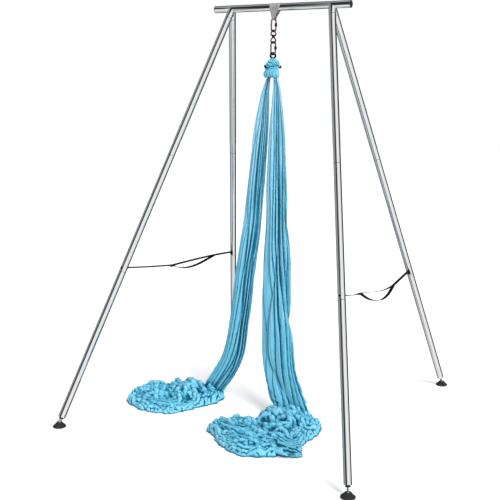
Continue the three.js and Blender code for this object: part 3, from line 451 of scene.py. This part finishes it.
# The yarns are 1 mm apart and are drawn at 2.1 to 2.6 mm, so that they show.
ribs = add_node(tree, "ShaderNodeTexWave", {"Vector": place.outputs["Object"], "Scale": bands(2.6),
                                            "Distortion": 0.5, "Detail": 1.0}, bands_direction="X")
picks = add_node(tree, "ShaderNodeTexWave", {"Vector": place.outputs["Object"], "Scale": bands(2.1),
                                             "Distortion": 0.5}, bands_direction="Z")
weave = add_node(tree, "ShaderNodeMath", {0: ribs.outputs["Fac"], 1: picks.outputs["Fac"]},
                 operation="MULTIPLY")
tint = add_node(tree, "ShaderNodeMix", {"Factor": weave.outputs[0], 6: linear("#9b999b"),
                                        7: linear("#d2d0d1")}, data_type="RGBA")
tree.links.new(tint.outputs[2], shader.inputs["Base Color"])
raised = add_node(tree, "ShaderNodeBump", {"Height": weave.outputs[0], "Strength": 0.6,
                                           "Distance": 0.0006})
tree.links.new(raised.outputs["Normal"], shader.inputs["Normal"])
sling = woven_copy("sling", "webbing_sling", sling_webbing)
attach(sling, "suspension")
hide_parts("sling")

# Carabiner bodies and gates: forged aluminium rod, polished bright. It reflects softly and has small
# dull rub marks.
alloy, tree, shader = new_material("polished_forged_aluminium", metallic=1.0, roughness=0.2)
place = add_node(tree, "ShaderNodeTexCoord")
rubbed = add_node(tree, "ShaderNodeTexNoise", {"Vector": place.outputs["Object"], "Scale": spots(7.1),
                                               "Detail": 5.0})
tint = add_node(tree, "ShaderNodeMix", {"Factor": rubbed.outputs["Fac"], 6: linear("#707376"),
                                        7: linear("#a0a3a6")}, data_type="RGBA")
tree.links.new(tint.outputs[2], shader.inputs["Base Color"])
rub = add_node(tree, "ShaderNodeMapRange", {"Value": rubbed.outputs["Fac"], "To Min": 0.12,
                                            "To Max": 0.34})
tree.links.new(rub.outputs[0], shader.inputs["Roughness"])
finish_cad(alloy, *(f"{level}_carabiner_{part}" for level in ("upper", "lower")
                    for part in ("body", "gate")))

# Screw sleeves and the swivel's bail: aluminium anodised dark red. The dye gives a deep, slightly satin
# red over turned metal.
red, tree, shader = new_material("red_anodised_aluminium", metallic=1.0, roughness=0.42)
place = add_node(tree, "ShaderNodeTexCoord")
rubbed = add_node(tree, "ShaderNodeTexNoise", {"Vector": place.outputs["Object"],
                                               "Scale": spots(6.25), "Detail": 4.0})
tint = add_node(tree, "ShaderNodeMix", {"Factor": rubbed.outputs["Fac"], 6: linear("#561029"),
                                        7: linear("#762040")}, data_type="RGBA")
tree.links.new(tint.outputs[2], shader.inputs["Base Color"])
rub = add_node(tree, "ShaderNodeMapRange", {"Value": rubbed.outputs["Fac"], "To Min": 0.34,
                                            "To Max": 0.5})
tree.links.new(rub.outputs[0], shader.inputs["Roughness"])
finish_cad(red, "upper_carabiner_sleeve", "lower_carabiner_sleeve", "swivel_bail")

# Sleeve grips: the row of upright ribs that is milled round each screw sleeve for the fingers. Each rib
# is a low ridge with sloping sides and ends, in the sleeve's own red.
rib_count = 20
rib_ends = ((-0.0085, 0.0084), (-0.0075, 0.0092), (0.0075, 0.0092), (0.0085, 0.0084))
rib_sides = ((-0.0009, 0.0012), (-0.0004, 0), (0.0004, 0), (0.0009, 0.0012))
for level in ("upper", "lower"):
    lowest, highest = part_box(f"{level}_carabiner_sleeve")
    middle = (lowest + highest) / 2
    points, faces = [], []
    for i in range(rib_count):
        angle = 2 * math.pi * i / rib_count
        out = Vector((math.cos(angle), math.sin(angle), 0))
        along = Vector((-out.y, out.x, 0))
        faces += grid_faces(len(rib_ends), len(rib_sides), False, len(points))
        points += [middle + out * (radius - drop) + along * aside + Vector((0, 0, rise))
                   for rise, radius in rib_ends for aside, drop in rib_sides]
    grip = new_mesh(f"{level}_sleeve_ribs", points, faces, red, f"{level}_sleeve")

# Swivel ring and rescue eight: aluminium anodised black. It is dark and satin, with grey where the
# metal and cloth have run over it.
black, tree, shader = new_material("black_anodised_aluminium", metallic=1.0, roughness=0.34)
place = add_node(tree, "ShaderNodeTexCoord")
rubbed = add_node(tree, "ShaderNodeTexNoise", {"Vector": place.outputs["Object"], "Scale": spots(8.3),
                                               "Detail": 5.0, "Roughness": 0.65})
patch = add_node(tree, "ShaderNodeMapRange", {"Value": rubbed.outputs["Fac"], "From Min": 0.5,
                                              "From Max": 0.78})
tint = add_node(tree, "ShaderNodeMix", {"Factor": patch.outputs[0], 6: linear("#101012"),
                                        7: linear("#383736")}, data_type="RGBA")
tree.links.new(tint.outputs[2], shader.inputs["Base Color"])
rub = add_node(tree, "ShaderNodeMapRange", {"Value": rubbed.outputs["Fac"], "To Min": 0.3,
                                            "To Max": 0.5})
tree.links.new(rub.outputs[0], shader.inputs["Roughness"])
finish_cad(black, "swivel_ring", "rescue_eight")

# Silk tails: knitted nylon, 1.5 m wide, gathered in the knot and hanging in long soft pleats. The yarn
# is a little glossy. Its blue is painted pale on the ridges as painted highlight and deep in the valleys
# as painted shade.
silk, tree, shader = new_material("knitted_blue_silk", roughness=0.5, ior=1.5)
shader.inputs["Sheen Weight"].default_value = 0.35
shader.inputs["Sheen Roughness"].default_value = 0.4
shader.inputs["Sheen Tint"].default_value = linear("#bfe6f8")
place = add_node(tree, "ShaderNodeTexCoord")
# the valley attribute carries painted shade in the folds, and painted highlight on the ridges where it
# is below 0
valley = add_node(tree, "ShaderNodeAttribute", attribute_name="valley")
uneven = add_node(tree, "ShaderNodeTexNoise", {"Vector": place.outputs["Object"],
                                               "Scale": spots(167), "Detail": 3.0})
fold = add_node(tree, "ShaderNodeMath", {0: uneven.outputs["Fac"], 1: 0.3, 2: valley.outputs["Fac"]},
                operation="MULTIPLY_ADD")
share = add_node(tree, "ShaderNodeMapRange", {"Value": fold.outputs[0], "From Min": -0.35,
                                              "From Max": 1.15})
# the ramp runs from pale painted highlight through the silk's own blue to deep painted shade
dye_and_fold_shade = add_node(tree, "ShaderNodeValToRGB", {"Fac": share.outputs[0]})
dye_and_fold_shade_tones = ((0, "#a6e5fb"), (0.18, "#80d4f4"), (0.36, "#62c0dc"), (0.66, "#258eb0"), (1, "#024f70"))
stops = dye_and_fold_shade.color_ramp.elements
for i, (share_down, tone) in enumerate(dye_and_fold_shade_tones):
    stop = stops[i] if i < 2 else stops.new(share_down)
    stop.position, stop.color = share_down, linear(tone)
tree.links.new(dye_and_fold_shade.outputs["Color"], shader.inputs["Base Color"])
# The knit's ribs are 0.6 mm apart and are drawn at 2.1 mm, so that they show.
knit = add_node(tree, "ShaderNodeTexNoise", {"Vector": place.outputs["Object"], "Scale": spots(2.1),
                                             "Detail": 1.0})
raised = add_node(tree, "ShaderNodeBump", {"Height": knit.outputs["Fac"], "Strength": 0.08,
                                           "Distance": 0.0006})
tree.links.new(raised.outputs["Normal"], shader.inputs["Normal"])


def wander(x, y, seed):
    """Smooth wandering from about -1 to 1, with one swing for each step of 1 in x or y"""
    def corner(i, j):
        # large uneven numbers scatter the slopes of neighbouring corners
        turn = np.sin(i * 127.1 + j * 311.7 + seed * 74.7) * 43758.5453
        angle = 2 * np.pi * (turn - np.floor(turn))
        return np.cos(angle) * (x - i) + np.sin(angle) * (y - j)

    i, j = np.floor(x), np.floor(y)
    u, v = ((s ** 3) * (s * (s * 6 - 15) + 10) for s in (x - i, y - j))
    near = corner(i, j) * (1 - u) + corner(i + 1, j) * u
    far = corner(i, j + 1) * (1 - u) + corner(i + 1, j + 1) * u
    return 1.5 * (near * (1 - v) + far * v)


def through(places, values, at):
    """A smooth curve through values at rising places"""
    places, values = np.array(places, float), np.array(values, float)
    slopes = np.gradient(values, places)
    i = np.clip(np.searchsorted(places, at, "right") - 1, 0, len(places) - 2)
    step = places[i + 1] - places[i]
    t = np.clip((at - places[i]) / step, 0, 1)
    return (values[i] * (1 + 2 * t) * (1 - t) ** 2 + slopes[i] * step * t * (1 - t) ** 2
            + values[i + 1] * t * t * (3 - 2 * t) + slopes[i + 1] * step * t * t * (t - 1))


def shares_of(rows, columns):
    """How far along the rows and along the columns each point of a grid lies, from 0 to 1"""
    return np.meshgrid(np.linspace(0, 1, rows), np.linspace(0, 1, columns), indexing="ij")


def pleat(swing, sharpness):
    """Pleats: 1 down in a sharp valley and 0 up on a round ridge, once for each step of 1 in swing"""
    return (1 - np.abs(np.sin(np.pi * swing))) ** sharpness


def lap(swing):
    """Cloth that laps over itself: a short steep rise and a long fall, once for each step of 1"""
    return np.sin(np.pi * np.sqrt(swing - np.floor(swing))) ** 0.85


# Lengths in metres. Widths, depths, aside and ahead are shares at the places down the tail in fall.
tail_top = 2.4245
tails = {
    "left": dict(
        top_side=-0.096, reach=-0.394, forward=0.086, width=0.196, depth=0.096, foot=0.040, pleats=17,
        fall=[0, .125, .285, .44, .597, .75, .89, 1], aside=[0, .083, .172, .258, .38, .46, .61, 1],
        ahead=[0, 0, 0, 0, 0, .1, .4, 1], widths=[.2, .53, .7, .78, .84, .92, 1.02, .94],
        depths=[.34, .68, .86, .92, .95, .97, 1, .75]),
    "right": dict(
        top_side=-0.016, reach=0.306, forward=0.224, width=0.256, depth=0.106, foot=0.044, pleats=15,
        fall=[0, .125, .285, .44, .6, .75, .89, 1], aside=[0, .025, .05, .085, .125, .22, .46, 1],
        ahead=[0, 0, 0, 0, 0, .13, .52, 1], widths=[.17, .42, .62, .78, .93, 1.02, 1.06, 1.1],
        depths=[.34, .68, .88, .95, .97, 1, 1, .8]),
}
closed_share = 0.97  # of the way round that a tail's cloth goes
broad_depth = 0.42
ankle_start, ankle_length, slump_pitch, slump_depth = 0.87, 0.1, 0.07, 0.16
tuck_length, tuck_in, tuck_up, knot_foot_side = 0.045, 0.42, 0.024, -0.054


def hang_tail(tail, seed, rows=240, per_pleat=16):
    """The pleated cloth of a tail: points row by row from the knot down"""
    n = tail["pleats"]
    columns = n * per_pleat + 1
    t, u = shares_of(rows, columns)
    z = tail_top - (tail_top - tail["foot"]) * t
    # pleats, which wander sideways and grow deeper or shallower on their way down
    swing = (n * u + 0.9 * wander(n * u * 0.35, z * 1.1, seed)
             + 0.35 * wander(n * u * 0.9, z * 2.3, seed + 1))
    valley = pleat(swing, 1.15)
    depth = 0.58 + 0.3 * wander(n * u * 0.8, z * 0.9, seed + 2)
    # a broad hollow for every four pleats, and fine creases over all
    broad = pleat(n / 4 * u + 0.9 * wander(n * u * 0.15, z * 0.9, seed + 7), 2.2)
    fine = pleat(2.6 * n * u + 0.8 * wander(n * u * 0.7, z * 1.7, seed + 3), 1.1)
    fine_depth = 0.05 + 0.04 * wander(n * u * 0.5, z * 1.3, seed + 4)
    share = (1 - depth * valley) * (1 - broad_depth * broad) - fine_depth * fine
    lean = 2 * np.pi / n * 0.55 * wander(n * u * 0.3, z * 0.8, seed + 5)
    angle = (u - 0.5) * 2 * np.pi * closed_share + lean * valley
    # the foot of the tail slumps in patches of level folds
    ankle = np.clip((t - ankle_start) / ankle_length, 0, 1)
    slump = lap(z / slump_pitch + 1.1 * np.sin(angle) + 1.2 * wander(n * u * 0.5, z * 7, seed + 8))
    patches = np.clip(0.5 + wander(n * u * 0.3, z * 5, seed + 9), 0, 1)
    share = share + ankle * slump_depth * slump * patches
    half_width = tail["width"] / 2 * through(tail["fall"], tail["widths"], t)
    half_depth = tail["depth"] / 2 * through(tail["fall"], tail["depths"], t)
    x = (tail["top_side"] + tail["reach"] * through(tail["fall"], tail["aside"], t)
         + half_width * share * np.sin(angle))
    y = (-tail["forward"] * through(tail["fall"], tail["ahead"], t)
         - half_depth * share * np.cos(angle))
    tucked = np.clip(1 - t / tuck_length, 0, 1) ** 2  # the top rows go up into the knot
    x, z = x - tuck_in * tucked * (x - knot_foot_side), z + tuck_up * tucked
    return np.stack([x, y, z], -1).reshape(-1, 3), rows, columns


# Silk heaps: the spare length of each tail, lying where it was let down. It lies in mounds of crumpled
# ruffles, and bands of long folds run out over them and over the floor.

# Lengths and pitches are in metres. reaches are shares of reach, evenly round the heap. mounds (side,
# fore, spread, rise), calm (side, fore, spread) and all but the pitch of rosettes (side, fore, spread,
# pitch) are shares of reach too. laps are (degrees, pitch, strength) and crumples (pitch, strength).
heaps = {
    "left": dict(
        side=-0.706, fore=-0.286, reach=0.290, height=0.126,
        reaches=[.98, 1.2, 1.36, 1.16, .93, .73, .55, .54, .68, .9, 1.06, 1.18, 1.1, 1.07, 1.05, 1.03,
                 .93, .89],
        mounds=[(-.62, -.1, .62, .86), (.30, .36, .60, 1), (.86, .62, .44, .7)],
        laps=[(62, .052, .34), (-28, .060, .26)], crumples=[(.110, .34), (.056, .56), (.030, .12)],
        stretch=1.15, calm=[(.62, -.22, .24)],
        rosettes=[(-.66, -.10, .26, .038), (-.22, .04, .22, .034), (.28, .36, .30, .040)],
        bands=[
            dict(run=[(-.930, -.400), (-.850, -.455), (-.750, -.475), (-.640, -.455), (-.555, -.370)],
                 width=.11, rise=.034, folds=4)]),
    "right": dict(
        side=0.192, fore=-0.564, reach=0.345, height=0.138,
        reaches=[.98, 1.08, 1.26, 1.3, 1.06, .82, .6, .56, .62, .94, 1.03, .9, .98, 1.02, 1.14, 1.13,
                 1.1, 1.12],
        mounds=[(.3, .66, .62, 1), (.86, .66, .4, .62), (-.5, -.1, .56, .56), (.36, -.62, .6, .34)],
        laps=[(80, .068, .56), (20, .080, .26)], crumples=[(.160, .46), (.080, .52), (.040, .12)],
        stretch=1.7, calm=[(.76, -.30, .34), (-.42, -.36, .22)],
        rosettes=[(.82, .66, .28, .034), (.24, .56, .26, .044), (-.28, .10, .24, .046)],
        bands=[
            dict(run=[(-.120, -.625), (-.020, -.665), (.090, -.680), (.200, -.640), (.280, -.560)],
                 width=.10, rise=.036, folds=3),
            dict(run=[(.020, -.770), (.110, -.800), (.220, -.800), (.320, -.750), (.380, -.670)],
                 width=.11, rise=.034, folds=3),
            dict(run=[(.290, -.700), (.370, -.760), (.450, -.785), (.530, -.775), (.600, -.740)],
                 width=.13, rise=.040, folds=1.6)]),
}
floor_gap, rim_height, fold_height = 0.003, 0.010, 0.066
rim_round = 0.034  # how far in from its rim a heap rises to its rim height
rim_lap_pitch = 0.032
bulk_below = 0.056  # how far the bare mounds stay under the heap's height
spill_reach = 0.012  # how far a crest leans out over the cloth below it


def heap_bed(heap, x, y):
    """The rounded mass of a heap under its crumples"""
    bulk = np.zeros_like(x)
    for side, fore, spread, rise in heap["mounds"]:
        away = ((x - side) ** 2 + (y - fore) ** 2) / spread ** 2
        bulk = np.maximum(bulk, rise * np.exp(-away))
    return bulk


def lay_heap(heap, seed, rings=120, columns=420):
    """The crumpled cloth of a heap: points ring by ring from its middle out"""
    share, angle = np.meshgrid(np.linspace(0.004, 1, rings), 2 * np.pi * np.arange(columns) / columns,
                               indexing="ij")
    given = heap["reaches"] * 3
    spots_round = (np.arange(len(given)) - len(heap["reaches"])) * 2 * np.pi / len(heap["reaches"])
    outline = through(spots_round, given, angle)
    outline = outline + 0.05 * wander(5 * np.cos(angle) + 9, 5 * np.sin(angle), seed)
    outline = outline + 0.06 * np.abs(wander(7 * np.cos(angle) + 9, 7 * np.sin(angle), seed + 8))
    x, y = share * outline * np.cos(angle), share * outline * np.sin(angle)

    def height(x, y):
        bulk = heap_bed(heap, x, y)
        reached = np.hypot(x, y) / outline
        across, ahead = x * heap["reach"], y * heap["reach"]

        def drift(size, start):
            return wander(across / size, ahead / size, seed + start)

        # crumples: nets of ridges, large to small, that are pushed out of line
        warp_x, warp_y = across, ahead * heap["stretch"]
        for size, push, start in ((0.13, 0.034, 4), (0.045, 0.010, 40)):
            warp_x = warp_x + push * drift(size, start)
            warp_y = warp_y + push * drift(size, start + 1)
        fold, crest = np.zeros_like(x), 1.0
        for i, (pitch, strength) in enumerate(heap["crumples"]):
            bumps = np.abs(wander(warp_x / pitch, warp_y / pitch, seed + 10 + i))
            ridge = (1 - np.clip(1.5 * bumps, 0, 1)) ** 2.1
            fold = fold + strength * ridge * crest
            crest = 0.45 + 0.75 * ridge
        # laps: patches of long folds that fall over one way
        for i, (degrees, pitch, strength) in enumerate(heap["laps"]):
            turn = math.radians(degrees)
            swing = ((across * math.cos(turn) + ahead * math.sin(turn)) / pitch
                     + 1.7 * drift(0.15, 20 + i) + 0.4 * drift(0.05, 24 + i))
            fold = fold + strength * lap(swing) * np.clip(0.5 + drift(0.09, 30 + i), 0, 1)
        # rosettes: laps that wind round a middle, where the cloth was let down last
        bend = 1.2 * drift(0.10, 1) + 0.5 * drift(0.05, 2)
        for side, fore, spread, pitch in heap["rosettes"]:
            away = np.hypot(x - side, y - fore)
            weight = np.exp(-(away / spread) ** 4)
            spiral = np.arctan2(y - fore, x - side) / (2 * np.pi)
            swing = 0.9 * bend - away * heap["reach"] / pitch + spiral
            fold = fold * (1 - 0.45 * weight) + weight * 0.6 * lap(swing)
        # calm: places where the cloth lies flatter
        for side, fore, spread in heap["calm"]:
            away = ((x - side) ** 2 + (y - fore) ** 2) / spread ** 2
            fold = fold * (1 - 0.7 * np.exp(-away))
        # near the rim the folds run along it, and the rim itself is round
        near_rim = np.clip((reached - 0.62) / 0.25, 0, 1)
        swing = 0.5 - reached * outline * heap["reach"] / rim_lap_pitch + 1.5 * drift(0.12, 3)
        rim_laps = 0.5 * lap(swing) * np.clip(0.65 + 0.8 * drift(0.1, 7), 0, 1)
        fold = fold * (1 - 0.4 * near_rim) + near_rim * rim_laps
        inside = np.clip((1 - share) * outline * heap["reach"] / rim_round, 0, 1)
        edge = np.sqrt(inside * (2 - inside))
        top = (heap["height"] - bulk_below) * bulk * np.clip(1 - share ** 2.4, 0, 1) ** 0.6
        folded = fold_height * fold * (0.42 + 0.58 * np.clip(bulk * 1.6, 0, 1))
        return floor_gap + rim_height * edge + top + edge * folded

    # the crests spill over downhill, so that they overhang the cloth below them
    z = height(x, y)
    nudge = 0.003
    step = nudge / heap["reach"]
    slope_x = (height(x + step, y) - height(x - step, y)) / (2 * nudge)
    slope_y = (height(x, y + step) - height(x, y - step)) / (2 * nudge)
    steep = np.hypot(slope_x, slope_y)
    spill = spill_reach * np.tanh(steep) / np.maximum(steep, 1e-6) * (1 - share ** 5)
    px = heap["side"] + heap["reach"] * x - spill * slope_x
    py = heap["fore"] + heap["reach"] * y - spill * slope_y
    return np.stack([px, py, z], -1).reshape(-1, 3), rings, columns


def lay_band(heap, band, seed, rows=150, columns=70):
    """A band of long folds that lies over a heap: points row by row along its run"""
    s, v = shares_of(rows, columns)
    stations = np.linspace(0, 1, len(band["run"]))
    mid_x, mid_y = (through(stations, [point[i] for point in band["run"]], s) for i in (0, 1))
    ahead_x, ahead_y = np.gradient(mid_x, axis=0), np.gradient(mid_y, axis=0)
    long = np.hypot(ahead_x, ahead_y)
    across_x, across_y = -ahead_y / long, ahead_x / long
    # a few long folds side by side, with fine ones on them, that lean and run out at both ends
    swing = (band["folds"] * v + 0.9 * wander(s * 2.6, v * 1.6, seed)
             + 0.3 * wander(s * 7, v * 5, seed + 1))
    folds = lap(swing) * np.clip(0.8 + 0.4 * wander(s * 4, v * 3, seed + 3), 0.3, 1)
    fine = lap(2.7 * swing + 1.2 * wander(s * 5, v * 3, seed + 2))
    fine = fine * np.clip(wander(s * 7, v * 4, seed + 7) + .4, 0, 1)
    ends = np.clip(np.minimum(s, 1 - s) / 0.14, 0, 1) ** 0.5
    half = band["width"] / 2 * (0.8 + 0.25 * wander(s * 2.5, s * 0, seed + 4)) * (0.35 + 0.65 * ends)
    lean = 0.18 / band["folds"] * (folds - 0.5)
    side = half * (2 * (v - lean) - 1 + 0.16 * wander(s * 2.6, v * 2, seed + 6))
    x, y = mid_x + side * across_x, mid_y + side * across_y
    # the band lies on the heap, and on the floor beyond it
    bed_x, bed_y = (x - heap["side"]) / heap["reach"], (y - heap["fore"]) / heap["reach"]
    inside = np.clip((1.2 - np.hypot(bed_x, bed_y)) / 0.3, 0, 1)
    bed = 0.010 + 0.020 * inside + (heap["height"] - 0.062) * heap_bed(heap, bed_x, bed_y)
    arch = np.clip(1 - (2 * v - 1) ** 4, 0, 1) ** 0.6
    folded = 0.75 * band["rise"] * folds + 0.008 * fine
    z = bed * (0.55 + 0.45 * arch) * (0.5 + 0.5 * ends) + arch * ends * folded
    return np.stack([x, y, np.maximum(z, 0.002)], -1).reshape(-1, 3), rows, columns


# The colours follow each point's valley value, which is painted shade. It is the share of the ways out
# of the folds that other cloth blocks, and in the heaps also how hollow the place is.
look_reach, look_lift = 0.07, 0.0015
open_share, blocked_span = 0.18, 0.55
tail_shade, height_shade, heap_shade = 0.1, 0.42, 0.25
# each as points to look round, metres that count as a full crease, and strength
crease_sizes = ((2, 0.003, 1.1), (7, 0.009, 0.8))


def fold_depth(points, faces, outward):
    """How far each point lies down in the folds: the share of the ways out that other cloth blocks"""
    tree = BVHTree.FromPolygons(points.tolist(), faces)
    mesh = bpy.data.meshes.new("folds")
    mesh.from_pydata(points.tolist(), [], faces)
    normals = np.array([v.normal for v in mesh.vertices])
    bpy.data.meshes.remove(mesh)
    normals *= np.sign((normals * outward).sum(1, keepdims=True) + 1e-9)
    # seven ways out, four of them steep and three low along the cloth
    ways = [(math.cos(a), math.sin(a), c) for c, first in ((0.8, 0), (0.3, 1))
            for a in np.arange(first, 7, 2.1)]
    side = np.cross(normals, (0.31, 0.52, 0.79))
    side /= np.linalg.norm(side, axis=1, keepdims=True)
    other = np.cross(normals, side)
    blocked = np.zeros(len(points))
    starts = points + normals * look_lift
    for a, b, c in ways:
        aims = side * a + other * b + normals * c
        for i, (start, aim) in enumerate(zip(starts.tolist(), aims.tolist())):
            if tree.ray_cast(start, aim, look_reach)[0] is not None:
                blocked[i] += 1 / len(ways)
    return blocked


def hollows(rows, reach):
    """How far each value of a grid lies below the mean of the values round it"""
    padded = np.pad(rows, ((reach, reach), (0, 0)), "edge")
    steps = range(-reach, reach + 1)
    near = sum(np.roll(padded, j, 1)[reach + i:reach + i + len(rows)] for i in steps for j in steps)
    return near / len(steps) ** 2 - rows


def keep_fold_shade(cloth, values):
    """Keeps the valley values, the painted fold shade, on the cloth's points, for its material"""
    deep = cloth.data.attributes.new("valley", "FLOAT", "POINT")
    deep.data.foreach_set("value", values.reshape(-1).astype(np.float32))


for number, side in enumerate(("left", "right")):
    seed = 11 + 20 * number
    heap = heaps[side]
    sheets = [(*hang_tail(tails[side], seed), False), (*lay_heap(heap, seed + 6), True)]
    sheets += [(*lay_band(heap, band, seed + 300 + 9 * i), False)
               for i, band in enumerate(heap["bands"])]
    points, faces = np.zeros((0, 3)), []
    for sheet_points, rows, columns, closed in sheets:
        faces += grid_faces(rows, columns, closed, len(points))
        points = np.concatenate([points, sheet_points])
    cloth = new_mesh(f"silk_{side}_cloth", points, faces, silk)
    outward = np.zeros_like(points)
    hanging = len(sheets[0][0])
    tail_rows = points[:hanging].reshape(*sheets[0][1:3], 3)
    outward[:hanging] = (tail_rows - tail_rows.mean(1, keepdims=True)).reshape(-1, 3)
    outward[hanging:, 2] = 1
    # painted shade where other cloth blocks the ways out of the folds
    depth = np.clip((fold_depth(points, faces, outward) - open_share) / blocked_span, 0, 1)
    up_tail = np.clip(points[:, 2] / 2.3, 0, 1)  # high up the tails the colour is painted paler
    depth = depth * depth * (3 - 2 * depth) - tail_shade - height_shade * up_tail ** 1.2
    first = hanging
    for sheet_points, rows, columns, closed in sheets[1:]:
        raised = sheet_points.reshape(rows, columns, 3)[..., 2]
        # painted shade in the heaps' hollows, and paler painted highlight on their crests
        crease = sum(strength * hollows(raised, reach) / full for reach, full, strength in crease_sizes)
        after = first + rows * columns
        depth[first:after] += heap_shade + np.clip(crease, -0.42, 1).reshape(-1)
        first = after
    keep_fold_shade(cloth, np.clip(depth, -0.5, 1))
    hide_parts(f"silk_{side}_upper", f"silk_{side}_lower", f"silk_{side}_pile")
    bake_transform(cloth)

# Silk knot: the middle of the silk, pulled through the eight and wrapped round its neck. The upper wrap
# crosses from right to left over the lower one, and the pleats run with the wrap.
eight_side = -0.052  # the rescue eight hangs this far aside of the rig's middle
knot_height, knot_width, knot_depth, knot_pleats = 0.1425, 0.124, 0.092, 14
knot_rise = [0, .11, .32, .46, .63, .84, 1]
knot_sides = [-.05, -.065, -.08, -.065, -.03, .016, .03]
knot_widths = [.88, .97, .93, .85, .9, .72, .34]
knot_depths = [.74, .92, 1, .87, 1, .87, .42]
rows, columns = 90, knot_pleats * 16 + 1
t, u = shares_of(rows, columns)
ragged_foot = 0.012 * (1 - t) ** 6 * (1 + wander(u * 5, t * 2, 53))
z = tail_top + knot_height * t + ragged_foot
angle = (u - 0.5) * 2 * np.pi * 0.98
crossing = 0.50 + 0.13 * np.sin(angle + 0.5)
upper = 1 / (1 + np.exp(-(t - crossing) / 0.015))
swing = (knot_pleats * u + 5.5 * upper * (t - crossing) - 1.2 * (1 - upper) * t
         + 0.9 * wander(knot_pleats * u * 0.45, t * 2.6, 51))
valley = pleat(swing, 1.2)
crease = pleat(2.3 * swing + wander(knot_pleats * u * 0.8, t * 5, 54), 1.5)
pinch = np.exp(-(((t - crossing) / 0.045) ** 2))
pleat_depth = 0.19 + 0.12 * wander(knot_pleats * u * 0.6, t * 2, 52)
share = 1 - pleat_depth * valley - 0.17 * pinch - 0.055 * crease
half_width = knot_width / 2 * through(knot_rise, knot_widths, t)
half_depth = knot_depth / 2 * through(knot_rise, knot_depths, t)
x = (eight_side + knot_width * through(knot_rise, knot_sides, t)
     + half_width * share * np.sin(angle))
y = -half_depth * share * np.cos(angle)
knot = new_mesh("silk_knot_wraps", np.stack([x, y, z], -1).reshape(-1, 3),
                grid_faces(rows, columns, False), silk)
# painted shade in the knot's pleat valleys, its pinch and its creases, and paler painted highlight on
# its ridges
keep_fold_shade(knot, 0.55 * valley + 0.35 * pinch + 0.35 * crease - 0.36)
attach(knot, "rotor")
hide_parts("silk_knot")
